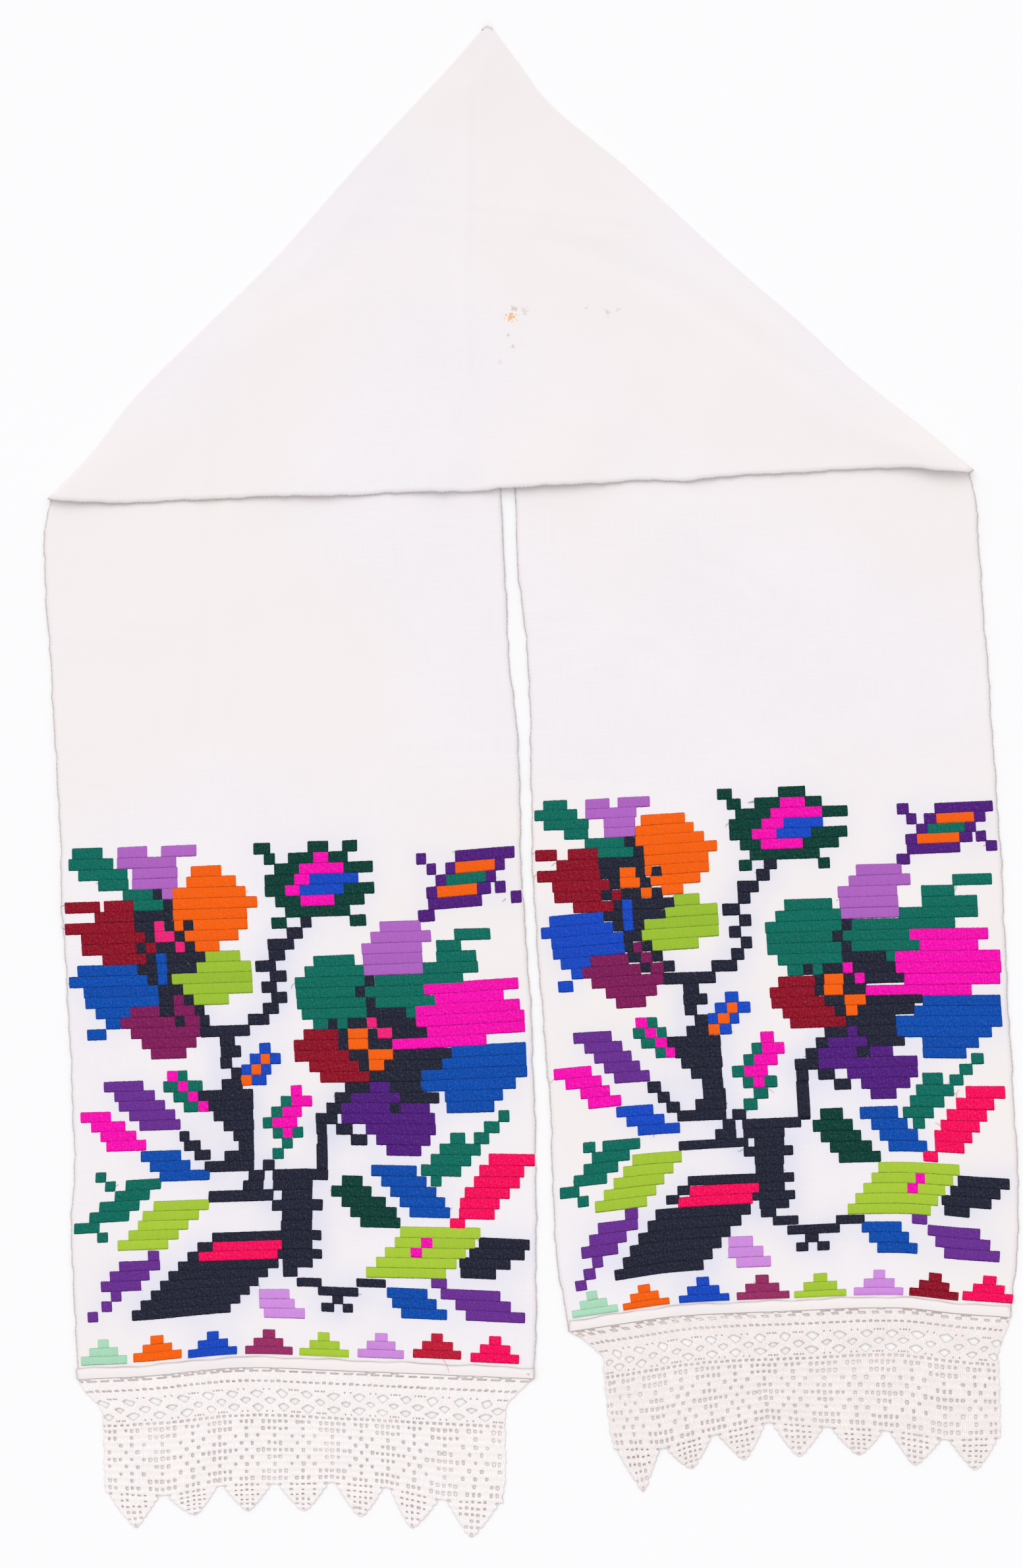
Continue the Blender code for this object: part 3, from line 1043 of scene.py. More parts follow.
@dataclass(frozen=True)
class CrochetFinish:
    """Cotton thread worked in close trebles, with its posts and their twist, painted shade in the dips
    between them and at the rims of its holes.
    """

    colour: Tone = tone(254, 249, 249)
    # shade is the painted shade in the dips of the stitches' relief
    shade: Tone = tone(238, 230, 227)
    # rim is the painted shade at the rims of the holes
    rim: Tone = tone(212, 192, 182)
    posts_per_column: float = 3.0
    rung: float = 1.05
    relief: float = 0.0001

    def make(self) -> bpy.types.Material:
        """Build the material.

        Returns:
            The material.
        """
        draft = ShaderDraft("crochet_finish")
        stitches, column, depth = draft.laid("stitches")
        wobble = draft.math("MULTIPLY", draft.noise(stitches, 1.3, 1.0), 2.0)
        posts = draft.math("SINE", draft.math("MULTIPLY", column, math.tau * self.posts_per_column))
        slant = draft.math("MULTIPLY_ADD", column, 1.4, draft.math("ADD", depth, wobble))
        rungs = draft.math("SINE", draft.math("MULTIPLY", slant, math.tau / self.rung))
        height = draft.math("MULTIPLY_ADD", posts, 0.2, draft.math("MULTIPLY_ADD", rungs, 0.3, 0.5))
        # painted shade where the relief of posts and rungs dips
        dips = draft.ease(height, 0.1, 0.62)
        cloud = draft.ease(draft.noise(draft.place(), 60.0, 2.0), 0.3, 0.7, 0.75, 1.0)
        share = draft.math("MULTIPLY", dips, cloud)
        worked = draft.blend(share, self.shade, self.colour)
        # painted shade at the rims of the holes, paler along the outer edge
        inner = draft.level("shade")
        draft.paint(draft.blend(draft.ease(inner, 0.0, 0.6, 0.25, 1.0), self.rim, worked))
        draft.bump(height, self.relief)
        draft.set(Roughness=0.8, Sheen_Weight=0.1, Sheen_Roughness=0.5, Specular_IOR_Level=0.25)
        return draft.material


WHITE_CROCHET = CrochetFinish()
CREAM_CROCHET = CrochetFinish(colour=tone(251, 245, 244), shade=tone(231, 221, 217))


@dataclass(frozen=True)
class FloorFinish:
    """A plain white studio sheet."""

    colour: Tone = (0.955, 0.955, 0.962, 1.0)

    def make(self) -> bpy.types.Material:
        """Build the material, with a hardly visible cloudiness.

        Returns:
            The material.
        """
        draft = ShaderDraft("studio_floor")
        cloud = draft.ease(draft.noise(draft.place(), 1.5, 2.0), 0.3, 0.7)
        draft.paint(draft.blend(cloud, shaded(self.colour, 0.995), shaded(self.colour, 1.0)))
        draft.set(Roughness=0.9, Specular_IOR_Level=0.1)
        return draft.material


def add_level(mesh: bpy.types.Mesh, name: str, values: Floats) -> None:
    """Store a number for each point of a mesh, for its material to read."""
    layer = mesh.attributes.new(name, "FLOAT", "POINT")
    layer.data.foreach_set("value", values.reshape(-1).astype(np.float32))


class MeshDraft:
    """Patches of quads that become one mesh."""

    def __init__(self) -> None:
        """Start with nothing."""
        self.points: list[Floats] = []
        self.quads: list[Floats] = []
        self.uv: list[Floats] = []
        self.shades: list[Floats] = []
        self.slots: list[Floats] = []
        self.count = 0

    def add_grid(self, points: Floats, uv: Floats, shade: Floats | float = 0.5, slot: int = 0,
                 keep: Floats | None = None) -> None:
        """Add a grid of quads.

        Args:
            points: a rows x columns x 3 block of points.
            uv: the texture place of each point.
            shade: a lightness for each point, or one for all.
            slot: the material slot.
            keep: which quads to keep, or None for all.
        """
        rows, columns = points.shape[:2]
        index = np.arange(rows * columns).reshape(rows, columns) + self.count
        quads = np.stack([index[:-1, :-1], index[:-1, 1:], index[1:, 1:], index[1:, :-1]], axis=-1)
        quads = quads.reshape(-1, 4) if keep is None else quads[keep]
        self.points.append(points.reshape(-1, 3))
        self.uv.append(uv.reshape(-1, 2))
        self.shades.append(np.broadcast_to(shade, (rows, columns)).reshape(-1))
        self.quads.append(quads)
        self.slots.append(np.full(len(quads), slot))
        self.count += rows * columns

    def piece(self, name: str, layout: Layout, uv_name: str) -> bpy.types.Object:
        """Make the object, with loose points left out.

        Args:
            name: the piece's name.
            layout: where it goes.
            uv_name: the name of its texture places.

        Returns:
            The new object.
        """
        points = np.concatenate(self.points)
        quads = np.concatenate(self.quads)
        used = np.unique(quads)
        order = np.full(len(points), -1)
        order[used] = np.arange(len(used))
        quads = order[quads]
        mesh = bpy.data.meshes.new(name)
        mesh.from_pydata(layout.place(points[used]).tolist(), [], quads.tolist())
        places = np.concatenate(self.uv)[used][quads.reshape(-1)]
        layer = mesh.uv_layers.new(name=uv_name)
        layer.data.foreach_set("uv", places.astype(np.float32).reshape(-1))
        add_level(mesh, "shade", np.concatenate(self.shades)[used])
        mesh.polygons.foreach_set("material_index", np.concatenate(self.slots).astype(np.int32))
        mesh.shade_smooth()
        mesh.update()
        piece = bpy.data.objects.new(name, mesh)
        bpy.context.scene.collection.objects.link(piece)
        return piece


def grow_thick(piece: bpy.types.Object, thickness: float, thin_group: str = "") -> None:
    """Thicken a sheet to both sides with a modifier.

    Args:
        piece: the sheet.
        thickness: how thick, in millimetres.
        thin_group: a vertex group whose weight is the share of that thickness.
    """
    solidify = piece.modifiers.new("thickness", "SOLIDIFY")
    solidify.thickness = thickness * MM
    solidify.offset = 0.0
    solidify.vertex_group = thin_group
    solidify.use_quality_normals = True


class Kind(Enum):
    """The groups of motifs; each makes one piece on each arm."""

    BLOSSOMS = "blossoms"
    BUDS = "buds"
    BRANCHES = "branches"
    LEAVES = "leaves"
    BORDER = "border"


class Motif(NamedTuple):
    """One thread's part of a counted motif.

    rows holds its rows from the top, parted by "/", each with its runs of counted steps,
    "from-to", in columns of the chart. pitch is the height of a row, in rows of the chart, and
    rise is how much higher its right end stands than its left.
    """

    thread: Thread
    rows: str
    top: float
    pitch: float = 1.0
    rise: float = 0.0


def motifs_of(table: str) -> tuple[Motif, ...]:
    """Read a table of motifs.

    Args:
        table: for each motif its thread, its top, its pitch and rise where they aren't the usual
            ones, a ":" and its rows, which may run over several lines.

    Returns:
        The motifs, in the order of the table.
    """
    entries = re.findall(r"([A-Z_]+)([^:]+):([^A-Z]+)", table)
    return tuple(Motif(Thread[thread], rows, *(float(number) for number in numbers.split()))
                 for thread, numbers, rows in entries)


class Hill(NamedTuple):
    """One stepped hill of the border: its middle column, its top row and its size against the rest."""

    thread: Thread
    middle: float
    top: float
    width: float
    pitch: float


def border_motifs(hills: Sequence[Hill], half_widths: Sequence[float]) -> tuple[Motif, ...]:
    """The row of little stepped hills above the hem, each in its own thread.

    Args:
        hills: the hills, from left to right.
        half_widths: half the width of each step, in columns.

    Returns:
        One motif for each hill.
    """
    motifs = []
    for hill in hills:
        sides = [(hill.middle - half * hill.width, hill.middle + half * hill.width)
                 for half in half_widths]
        steps = " / ".join(f"{left:.2f}-{right:.2f}" for left, right in sides)
        motifs.append(Motif(hill.thread, steps, hill.top, hill.pitch))
    return tuple(motifs)


LEFT_HILLS = (
    Hill(Thread.MINT, 2.5, 48.55, 0.92, 0.98),
    Hill(Thread.ORANGE, 8.0, 48.44, 0.98, 0.97),
    Hill(Thread.BRIGHT_BLUE, 13.67, 48.62, 0.98, 0.97),
    Hill(Thread.ROSEWOOD, 19.42, 48.62, 0.95, 0.98),
    Hill(Thread.SPRING_GREEN, 25.05, 48.7, 0.97, 0.98),
    Hill(Thread.PALE_LILAC, 30.87, 48.5, 0.95, 0.97),
    Hill(Thread.CARMINE, 36.62, 48.25, 0.98, 0.98),
    Hill(Thread.RED_PINK, 42.55, 48.3, 1.0, 1.04),
)
RIGHT_HILLS = (
    Hill(Thread.MINT, 2.78, 48.67, 0.915, 1.04),
    Hill(Thread.ORANGE, 8.27, 48.8, 0.915, 0.98),
    Hill(Thread.BRIGHT_BLUE, 14.37, 48.55, 1.01, 1.07),
    Hill(Thread.ROSEWOOD, 20.48, 48.6, 1.04, 1.04),
    Hill(Thread.SPRING_GREEN, 26.52, 48.7, 1.03, 1.04),
    Hill(Thread.PALE_LILAC, 32.6, 48.5, 0.99, 1.08),
    Hill(Thread.DARK_RED, 38.37, 48.5, 0.98, 1.04),
    Hill(Thread.RED_PINK, 44.1, 48.3, 1.0, 1.04),
)

LEFT_CHART = {
    Kind.BLOSSOMS: motifs_of("""
        TEAL 0.15: 1-4 / .5-5 / 1.5-6.5 / 3.5-6.5 / 6-9 / 7-10
        LILAC 0.15: 5.5-8.5 10-13.5 / 5.5-11.5 / 7-11.5 / 7-11.5 / 10-11
        ORANGE 2.15: 13-16 / 12.5-17.5 / 11-18.5 / 11-19.5 / 11-18.5 / 11-12 13-18.5 / 12-17.5 / 13-15.5
        DARK_RED 5.15: 0-3.5 4-7 / 3-7 / 0-7 / 1.5-8 / 1.5-7 8-9 / 3.5-8
        BLACK 4.15: 9-10 / 10-11 / 7-11 / 7-9 10-11 12-13 / 8-9 11-12 / 7-8 9-11 12-13 / 8-9 10-14 /
            7-9 10-13 / 8-9 10-10.5 / 9-11.5 / 9-10.5 11.5-12.5 / 9-10.5 12.5-13.5 / 10.5-11.5 13-14
        ROSE 7.15: 9-10 / 9-11 / 11-12
        BLUE 10.15: 9-10 / 9-10 / 9-10
        BLUE 11.15: 1-7 / 0-8 / 1.5-9 / 1.5-9 / 2.5-6 / 3.5-5 / 1.5-3.5
        LIME 10.15: 14-17.5 / 13-18.5 / 10.5-18.5 / 11.5-18.5 / 12.5-16
        PLUM 14.15: 10.5-11.5 / 6-9 10.5-12.5 / 5-10.5 11.5-13 / 6-13 / 7-12.5 / 8-11.5
        LILAC 7.9: 32-36 / 31-37 / 30-36 / 30-36 / 30-36
        TEAL 8.85 1.02: 39.5-43 / 37.5-40 / 37.5-41.5 / 36-41.5 / 31-40 / 30-36 / 31-37 / 34-35
        HOT_PINK 13.78 0.985 0.45: 36-45.5 / 37-44 / 35-45.5 / 35-46 / 36-46 / 32.5-42
        BLUE 19.62 1.02 0.3: 38.4-46 / 37.4-46 / 35.3-46 / 35.2-44.8 / 37.7-43.5 / 37.8-42.5
        TEAL 10.93 0.985: 25-29 / 24-30 / 23-30 / 23-29 / 23-30 / 23.5-30 / 24.5-26 27-28
        DARK_RED 17.8 1.02: 23.5-27 / 22.5-27 / 22.5-28 / 24-29 / 25-30
        BLACK 12.95 0.99: 30-31 / 29-30 / 30-31 / 30-34 / 26-27 28-30 31-35 / 27-28 30-31 32.5-36 /
            27-28 30-32.5 / 28-30 32.5-38.5 / 29-30 31.5-37.5 / 30-35.5
        ROSE 16.8: 30-31 / 31-32.5
        ORANGE 17.78 1.01: 28-30 / 28-30 / 30-32.5 / 30-31.5
        BLACK 22.93 0.99: 27.5-30 32-35.5 / 26.5-28 33-37 / 25.5-27 32-33 / 24.5-26.5 /
            24.5-25.5 26.5-28 / 24.5-25.5 28-29.5
        PURPLE 22.93 0.98: 30-32 / 28-33 / 27-32 33-36 / 27-36.5 / 29.5-36.5 / 30.5-36 / 31.5-35
        """),
    Kind.BUDS: motifs_of("""
        DARK_GREEN 0.2: 19.5-21 25-27 28.5-30 / 20.5-21.5 23-25.5 27-29 / 21.5-24 28.5-31.5 / 20.5-23.5 /
            20.5-22.5 28.5-31.5 / 21.5-24 27.5-30.5 / 22.5-29 / 21-22.5 29-30.5
        HOT_PINK 1.2: 25.5-27 / 24-28.5 / 23.5-25 / 22.5-24 / 24-27.5
        BRIGHT_BLUE 3.2: 25-30 / 24-28.5
        PURPLE 1.65: 36-37 / 37-38
        PURPLE 1.45 1.06 0.5: 40-46 / 39-40 44-45 / 38-39 43-44 / 37-38 42-43.5 44-45 /
            37-42.5 45.5-46.5 / 36-37.5
        ORANGE 2.51 1.06 0.35: 40-44 / / 38-42
        TEAL 3.57 1.06 0.35: 39-43
        HOT_PINK 21.4: 9.5-10.5 / 10.5-11.5 / 11.5-12.5 / 12.5-13.5
        TEAL 21.4: 10.5-11.5 / 9-10.5 11.5-13 / 10-11.5 / 11-12.5
        BRIGHT_BLUE 19.0: 19-20 / 18-19 20-21 / 17-18 19-20 / 18-19.5
        ORANGE 20.0: 19-20 / 18-19 / 17-18
        HOT_PINK 23.2: 22-23 / 22-24 / 21-23 / 20-22.5 / 21-22
        TEAL 24.2: 21-22 / 20-21 / 19-20 / 20-21 22-23 / 21-22 / 20-21
        """),
    Kind.BRANCHES: motifs_of("""
        BLACK 7.2: 24-25 / 22.5-24 / 20.5-23 / 20.5-22 / 19-21 / 20.5-22 / 19.5-21 / 20.5-22 / 19.5-21 /
            18-20 / 13-18
        BLACK 18.1 1.06: 15-16.5 / 15-17 / 15-16 / 16-17 / 15-17
        BLACK 23.4 0.985: 12.5-18 / 13.5-18 / 14-18 / 15-18 / 16-18 / 16.5-18 / 15-18 / 13-18 / 17.5-19 /
            17-19
        BLACK 30.3: 19-20
        BLACK 33.25 1.12: 13.5-20
        BLACK 27.27 0.93: 10.5-11.5 / 11-12.5 / 12-13.5
        BLACK 28.8 2.55: 24.5-25.5
        BLACK 31.3 1.03: 20-25.5 / 20-24 / 21-24
        BLACK 34.39 1.07: 20-25 / 21-24 / 21-24
        BLACK 37.6 0.985: 14-25 / 12.5-14 21-24 / 11.5-12.5 20.5-25 / 10.5-20.5 21-24 /
            9.5-19.5 21.1-22.5 / 8.5-18.5 / 7.5-17.5 / 6.5-16.5 / 5.5-15.5
        RED_PINK 38.585 0.985: 14-21 / 12.5-20.5
        BLACK 42.72 0.87: 22.4-24.8 / 24.6-28.6 / 26-27 / 24.9-26.1 27-28
        BLACK 42.55 0.85: 28.4-31.4
        """),
    Kind.LEAVES: motifs_of("""
        VIOLET 22.24 0.96: 3-7 / 4-8 / 4.5-9 / 5.5-10 / 6.5-10.5
        HOT_PINK 25.14 0.95: .5-3.5 / 1.5-5 / 2.5-6 / 3-7
        BLUE 29.06: 6.5-10.5 / 7.5-11.5 / 8.5-13.5
        TEAL 31.0 0.95: 2-3 / 3-4
        TEAL 31.9 1.04 0.25: 5-8.5 / 4-7.5 / 2.5-6.5 / 1.5-5.5 / 0-2.5
        TEAL 37.2: 2.4-3.4
        SPRING_GREEN 34.12: 8-13.5 / 7-12.5 / 6.5-11.5 / 5.5-10.5 / 4.5-9.5
        VIOLET 39.3 1.02: 7.5-8.5 / 4.5-8.5 / 3.5-7.5 / 2.5-6.5 / 3.5-4.5 / 2.5-3.5 / 1-2
        PALE_LILAC 43.96 1.04: 18.5-21.5 / 18.5-22 / 19-23
        TEAL 25.58: 43-44 / 41.5-43 / 40.5-42
        TEAL 27.64: 38-39.5 / 37-41 / 36-40 / 35-39 / 36-37
        RED_PINK 29.52 1.04 0.1: 42-46.5 / 41-45.5 / 40.5-45 / 39.5-44 / 39-43 / 39-42.5 / 38-39.5
        DARK_GREEN 31.84 1.04 0.1: 27-29 / 26-30 / 27-31.5 / 28-32.5 / 29-33
        BLUE 30.74 1.015 0.1: 30-34.5 / 31-35.5 / 32-36.5 / 33-37.5 / 34-38
        SPRING_GREEN 36.85 1.075 0.3: 33-41 / 32.5-35 36.2-40.5 / 31.5-34 35.2-39.5 / 30.5-38.5 /
            29.5-37.5
        HOT_PINK 37.9 1.05: 35-36.2 / 34-35.2
        BLACK 37.68 1.08: 41-46 / 40-45.5 / 39-44 / 39-42.5
        VIOLET 42.2: 36-37.5
        BLUE 43.4 1.06: 31.5-35.5 / 32-36.5 / 33-37.5
        VIOLET 43.3 1.08 -0.05: 37-43 / 38.5-44 / 39.5-45.5
        """),
    Kind.BORDER: border_motifs(LEFT_HILLS, (0.6, 1.55, 2.5)),
}
RIGHT_CHART = {
    Kind.BLOSSOMS: motifs_of("""
        TEAL 0.03 0.925: 1-3.3 / .1-4.2 / 1-5.4 / 3-5.35 / 5.1-8.95 / 6.3-9.85
        LILAC 0.0 0.92 0.1: 5.2-7.6 8.5-11.6 / 5.15-10.2 / 7-10.1 / 7-10.1
        ORANGE 1.61 0.95 0.3: 10.8-15.1 / 10.1-16 / 10.1-17 / 10.9-18.2 / 10.9-17.3 /
            10.9-11.6 12.6-17.3 / 11.5-16.4 / 12.6-14.7
        DARK_RED 4.69: .05-2.2 3.35-6.25 / 2.1-6.3 / .1-6.35 / 1.7-7.3 / 1.85-6.4 7.5-8.45 / 3.6-7.6
        BLACK 3.6 0.995: 8.95-10.1 / 9.85-10.95 / 6.35-10.95 / 6.4-8.4 10-10.95 11.5-12.6 /
            7.3-8.4 10.4-11.5 / 6.4-7.55 8.45-10.5 11.5-12.6 / 7.6-8.5 9.5-13.75 / 6.65-8.5 9.5-12.8 /
            7.5-8.5 9.5-10.6 / 8.45-10.35 / 8.4-9.35 10.2-11.3 / 8.75-10 11.15-12.25 /
            9.9-10.9 12.2-13.3
        ORANGE 6.54 0.97: 8.4-10 / 8.4-10.4 / 10.5-11.5
        BRIGHT_BLUE 9.57: 8.5-9.5 / 8.5-9.5 / 8.5-9.5
        BRIGHT_BLUE 10.82 1.02 0.4: 1.2-6.5 / .2-7.4 / 1.2-8.4 / 1.3-8.4 / 2-4.9 / 3-4.05
        BRIGHT_BLUE 17.18: 1.6-2.9
        LIME 9.31 1.03 0.25: 13.7-16.25 / 12.8-18 / 10.6-18 / 10.3-18 / 11.2-15.9
        PLUM 13.75 1.025 0.25: 9.35-10.2 / 5-8.75 10-11.15 / 4.05-9.9 10.9-12.2 / 5-12.1 / 6.25-11.4 /
            7.2-10.25
        LILAC 7.05 1.01: 32.1-36.55 / 31.3-37.4 / 30.2-36.1 / 30.25-36.1 / 30.3-36.1
        TEAL 8.22 1.01 -0.1: 41.75-45.55 / 38.5-41.8 / 38.5-44.05 / 36.1-44 / 31.4-41.7 / 30.4-37.15 /
            31.2-38.1 / 34.65-35.65
        HOT_PINK 13.29 1.07 -0.25: 37.1-45 / 38.15-43.95 / 35.6-46.05 / 35.55-46.2 / 36.4-45.95 /
            32.45-43.05
        BLUE 19.72 1.01 -0.3: 38.15-45.9 / 37.15-45.9 / 35.25-46 / 35.3-44.8 / 37.85-43.45 / 37.85-42.1
        TEAL 10.13 1.03: 24.75-29.45 / 23.75-30.35 / 22.75-30.3 / 22.75-29.3 / 22.8-30.25 / 23.8-30.25 /
            24.65-26.2 27.25-28.15
        DARK_RED 17.42: 23.7-27.3 / 22.75-27.25 / 22.9-28.15 / 23.9-29.15 / 24.6-30.2
        BLACK 12.15 1.026: 30.4-31.4 / 29.3-30.4 / 30.2-31.25 / 30.2-34.65 /
            26.2-27.25 28.15-30.2 31.2-35.55 / 27.3-28.3 30.2-31.35 32.35-36.4 / 27.2-28.2 30.1-32.4 /
            28.15-30.2 32.35-38.1 / 29.15-30.25 31.4-37.15 / 30.2-35.25 / 28-30.3 31.3-35.25 /
            27.05-28.25 32.2-36.05 / 25.95-27.2 31.1-32.45 / 24.85-27.15 / 27.1-28.7 / 28.65-30.25
        HOT_PINK 16.25 1.02: 30.2-31.2 / 31.35-32.35
        ORANGE 17.3 1.02: 28.3-30.2 / 28.2-30.1 / 30.2-32.35 / 30.3-31.4
        PURPLE 22.41 1.026: 30.3-31.3 / 28.25-32.2 / 27.2-31.1 32.45-34.75 / 27.15-37.1 / 30-37.05 /
            31.35-36.25 / 32.2-34.8
        """),
    Kind.BUDS: motifs_of("""
        DARK_GREEN -0.53 0.97: 18.5-19.9 24.65-27.4 / 19.45-20.85 22.25-24.8 27.3-29 /
            20.35-23.8 29-31.45 / 19.6-22.9 / 19.65-21.85 27.75-31.4 / 20.6-22.65 26.9-30.45 / 21.6-28.5 /
            20.45-21.7 28.35-29.5
        HOT_PINK 0.44 0.97: 24.8-27.3 / 23.8-29 / 22.9-25 / 21.85-24.25 / 22.65-26.9
        BRIGHT_BLUE 2.38 0.97: 25-28.95 / 24.25-27.75
        PURPLE 1.42 0.97: 36.5-37.6 / 37.4-38.4
        PURPLE 1.5 0.93 0.1: 40.3-46.1 / 39.3-40.4 44.2-45.4 / 38.35-39.45 43.2-44.35 /
            37.3-38.4 42.65-43.85 44.25-45.25 / 37.3-42.6 45.2-46.3 / 36.3-37.5
        ORANGE 2.43 0.93 0.05: 40.4-44.2 / / 38.4-42.65
        TEAL 3.36 0.93 0.05: 39.45-43.2
        HOT_PINK 20.95 0.98: 9.05-10.1 / 9.8-11 / 10.8-11.95 / 11.8-12.75
        TEAL 20.95 0.98: 10.1-11.1 / 8.75-9.85 11.05-11.95 / 9.5-10.8 / 10.8-11.8
        BRIGHT_BLUE 18.7 1.02: 18.2-19.5 / 17.2-18.4 19.4-20.6 / 16.3-17.35 18.5-19.5 / 17.4-18.55
        ORANGE 19.72 1.02: 18.4-19.4 / 17.35-18.5 / 16.3-17.4
        HOT_PINK 22.7 1.08: 21.5-22.75 / 21.6-23.85 / 20.7-23 / 19.6-22 / 20.5-21.6
        TEAL 23.78 1.08: 20.55-21.6 / 19.6-20.7 / 18.45-19.6 / 19.45-20.5 21.6-22.75 / 20.45-21.8 /
            19.3-20.65
        """),
    Kind.BRANCHES: motifs_of("""
        BLACK 6.1 1.06: 23-24.2 / 22.1-23.4 / 20.1-22.2 / 20.2-21.3 / 18.5-20.2 / 20.1-21.25 /
            19.1-20.25 / 20.2-21.2 / 19.2-20.4 / 17.1-19.6 / 12.1-17.3
        BLACK 17.8: 14.1-15.6 / 14.1-16.4 / 14.1-15.3
        BLACK 20.84 1.03: 15-16.3 / 14.15-16.3 / 12-17.4 / 12.75-17.4 / 13.4-17.4 / 14.3-17.3 /
            15.25-17.4 / 15.35-17.5 / 14.5-17.5 / 12.55-17.4 / 17.15-18.3 / 16.35-18.4
        BLACK 30.2: 18.1-19.45
        BLACK 33.2 0.9 0.15: 12.6-19.5
        BLACK 27.2 1.01: 9.7-10.95 / 10.65-11.85 / 11.5-12.8
        BLACK 27.6 3.85: 24.8-25.9
        BLACK 26.55 1.05: 24.85-25.95
        BLACK 31.2 0.98: 19.15-25 / 19.2-23.2 / 20.2-23.2 / 19.1-24.1 / 20.2-23.05 / 20.3-23.05 /
            13.45-24.1
        BLACK 38.1 0.955: 12.3-13.55 20.6-23.1 / 11.15-12.35 19.8-24.1 / 20.5-23.4 / 20.6-22.2 /
            21.9-24.3
        BLACK 40.45 1.2 0.2: 10-19.6 / 9.2-18.65 / 8.2-17.4 / 7.2-16.45 / 6.4-15.6 / 5.5-14.6
        RED_PINK 38.15 1.12 0.1: 13.55-20.5 / 12.35-19.75
        BLACK 43.02 0.97: 23.25-28.5 / 25.15-26.4 / 24.2-25.35 26.3-27.5
        BLACK 42.1 0.95: 28.2-31
        """),
    Kind.LEAVES: motifs_of("""
        VIOLET 22.13 1.0 0.12: 2.65-6.4 / 3.7-7.45 / 4.6-8.25 / 5.55-9.05 / 6.5-10
        HOT_PINK 25.4 1.0 0.3: .3-4.15 / 1.5-5 / 2.85-5.8 / 3.65-6.95
        BRIGHT_BLUE 29.36 0.99 0.05: 6.35-10.15 / 7.4-11.2 / 8.45-12.75
        TEAL 32.66: 2.85-4
        TEAL 32.62 1.1 0.05: 4.9-8.6 / 3.85-7.55 / 2.95-6.3 / 1.9-5.15 / .4-2.3 / 2.25-3.2
        SPRING_GREEN 34.33 1.13 0.05: 7.9-12.7 / 6.95-11.85 / 5.95-11 / 4.85-10.15 / 4-9.15
        VIOLET 40.0 1.2: 7-8.2 / 4.2-8.15 / 3.2-6.95 / 2.3-6 / 3.35-4.35 / 2.3-3.4 / 1.25-2.4
        PALE_LILAC 44.05 1.16: 17.25-19.65 / 17.25-20.7 / 18.05-21.5
        TEAL 25.4 0.98: 42.65-43.85 / 41.45-42.65 / 40.4-41.6
        TEAL 27.18 1.09: 37.6-39.55 / 36.95-40.6 / 36.2-39.55 / 35.5-38.5 / 36.4-37.5
        RED_PINK 28.46 1.1 -0.15: 41.85-45.75 / 40.9-44.7 / 39.9-43.85 / 39.2-43.1 / 38.45-42.25 /
            38.45-41.4 / 37.25-38.7
        DARK_GREEN 30.4 1.16: 27-29.2 / 26.2-30.2 / 27.05-31.05 / 27.9-32 / 28.7-32.9
        BLUE 30.4 1.17: 31.1-34.85 / 32.15-35.8 / 33-36.7 / 33.85-37.6
        SPRING_GREEN 36.27 1.145: 32.7-40.8 / 31.9-36.3 37.25-40.1 / 31.05-35.4 36.5-39.3 / 30.2-38.5 /
            29.5-37.7
        HOT_PINK 37.4 1.12: 36.3-37.25 / 35.4-36.5
        BLACK 37.5 1.1 -0.2: 40.6-45.8 / 39.85-44.8 / 39-43.9 / 39.2-41.75
        VIOLET 42.0 1.05: 36-37.45
        BLUE 42.93 1.16: 30.9-34.8 / 31.6-35.5 / 32.45-36.45
        VIOLET 43.06 1.16: 37.5-42.85 / 38.35-43.9 / 39.2-44.95
        """),
    Kind.BORDER: border_motifs(RIGHT_HILLS, (0.62, 1.6, 2.6)),
}


class Run(NamedTuple):
    """One block of upright satin stitches, in columns and rows of the chart."""

    thread: Thread
    left: float
    right: float
    top: float
    bottom: float
    rise: float


def runs_of(motif: Motif) -> list[Run]:
    """Read a motif's rows.

    Args:
        motif: the motif.

    Returns:
        Its runs, from the top.
    """
    runs = []
    spans = []
    for number, row in enumerate(motif.rows.split("/")):
        for span in row.split():
            left, _, right = span.rpartition("-")
            spans.append((number, float(left) + CHART_MARGIN, float(right) + CHART_MARGIN))
    low = min(left for _, left, _ in spans)
    high = max(right for _, _, right in spans)
    for number, left, right in spans:
        lean = motif.rise / (high - low)
        middle = (left + right - low - high) / 2
        top = motif.top + motif.pitch * number - lean * middle
        runs.append(Run(motif.thread, left, right, top, top + motif.pitch, lean * (right - left)))
    return runs


# How strongly the blocks of each thread tint the cloth near them blue
TINT_NEAR_BLOCKS = {
    Thread.BLACK: 1.0,
    Thread.BLUE: 0.6,
    Thread.BRIGHT_BLUE: 0.6,
    Thread.PURPLE: 0.5,
    Thread.VIOLET: 0.5,
    Thread.DARK_GREEN: 0.4,
    Thread.HOT_PINK: 0.2,
}


class StitchSection(NamedTuple):
    """A section across a block's stitches: its place from their lower ends, and how high it is."""

    along: float
    rise: float


STITCH_SECTIONS = (
    StitchSection(0.0, 0.0),
    StitchSection(0.05, 0.62),
    StitchSection(0.2, 0.93),
    StitchSection(0.5, 1.0),
    StitchSection(0.8, 0.93),
    StitchSection(0.95, 0.62),
    StitchSection(1.0, 0.0),
)


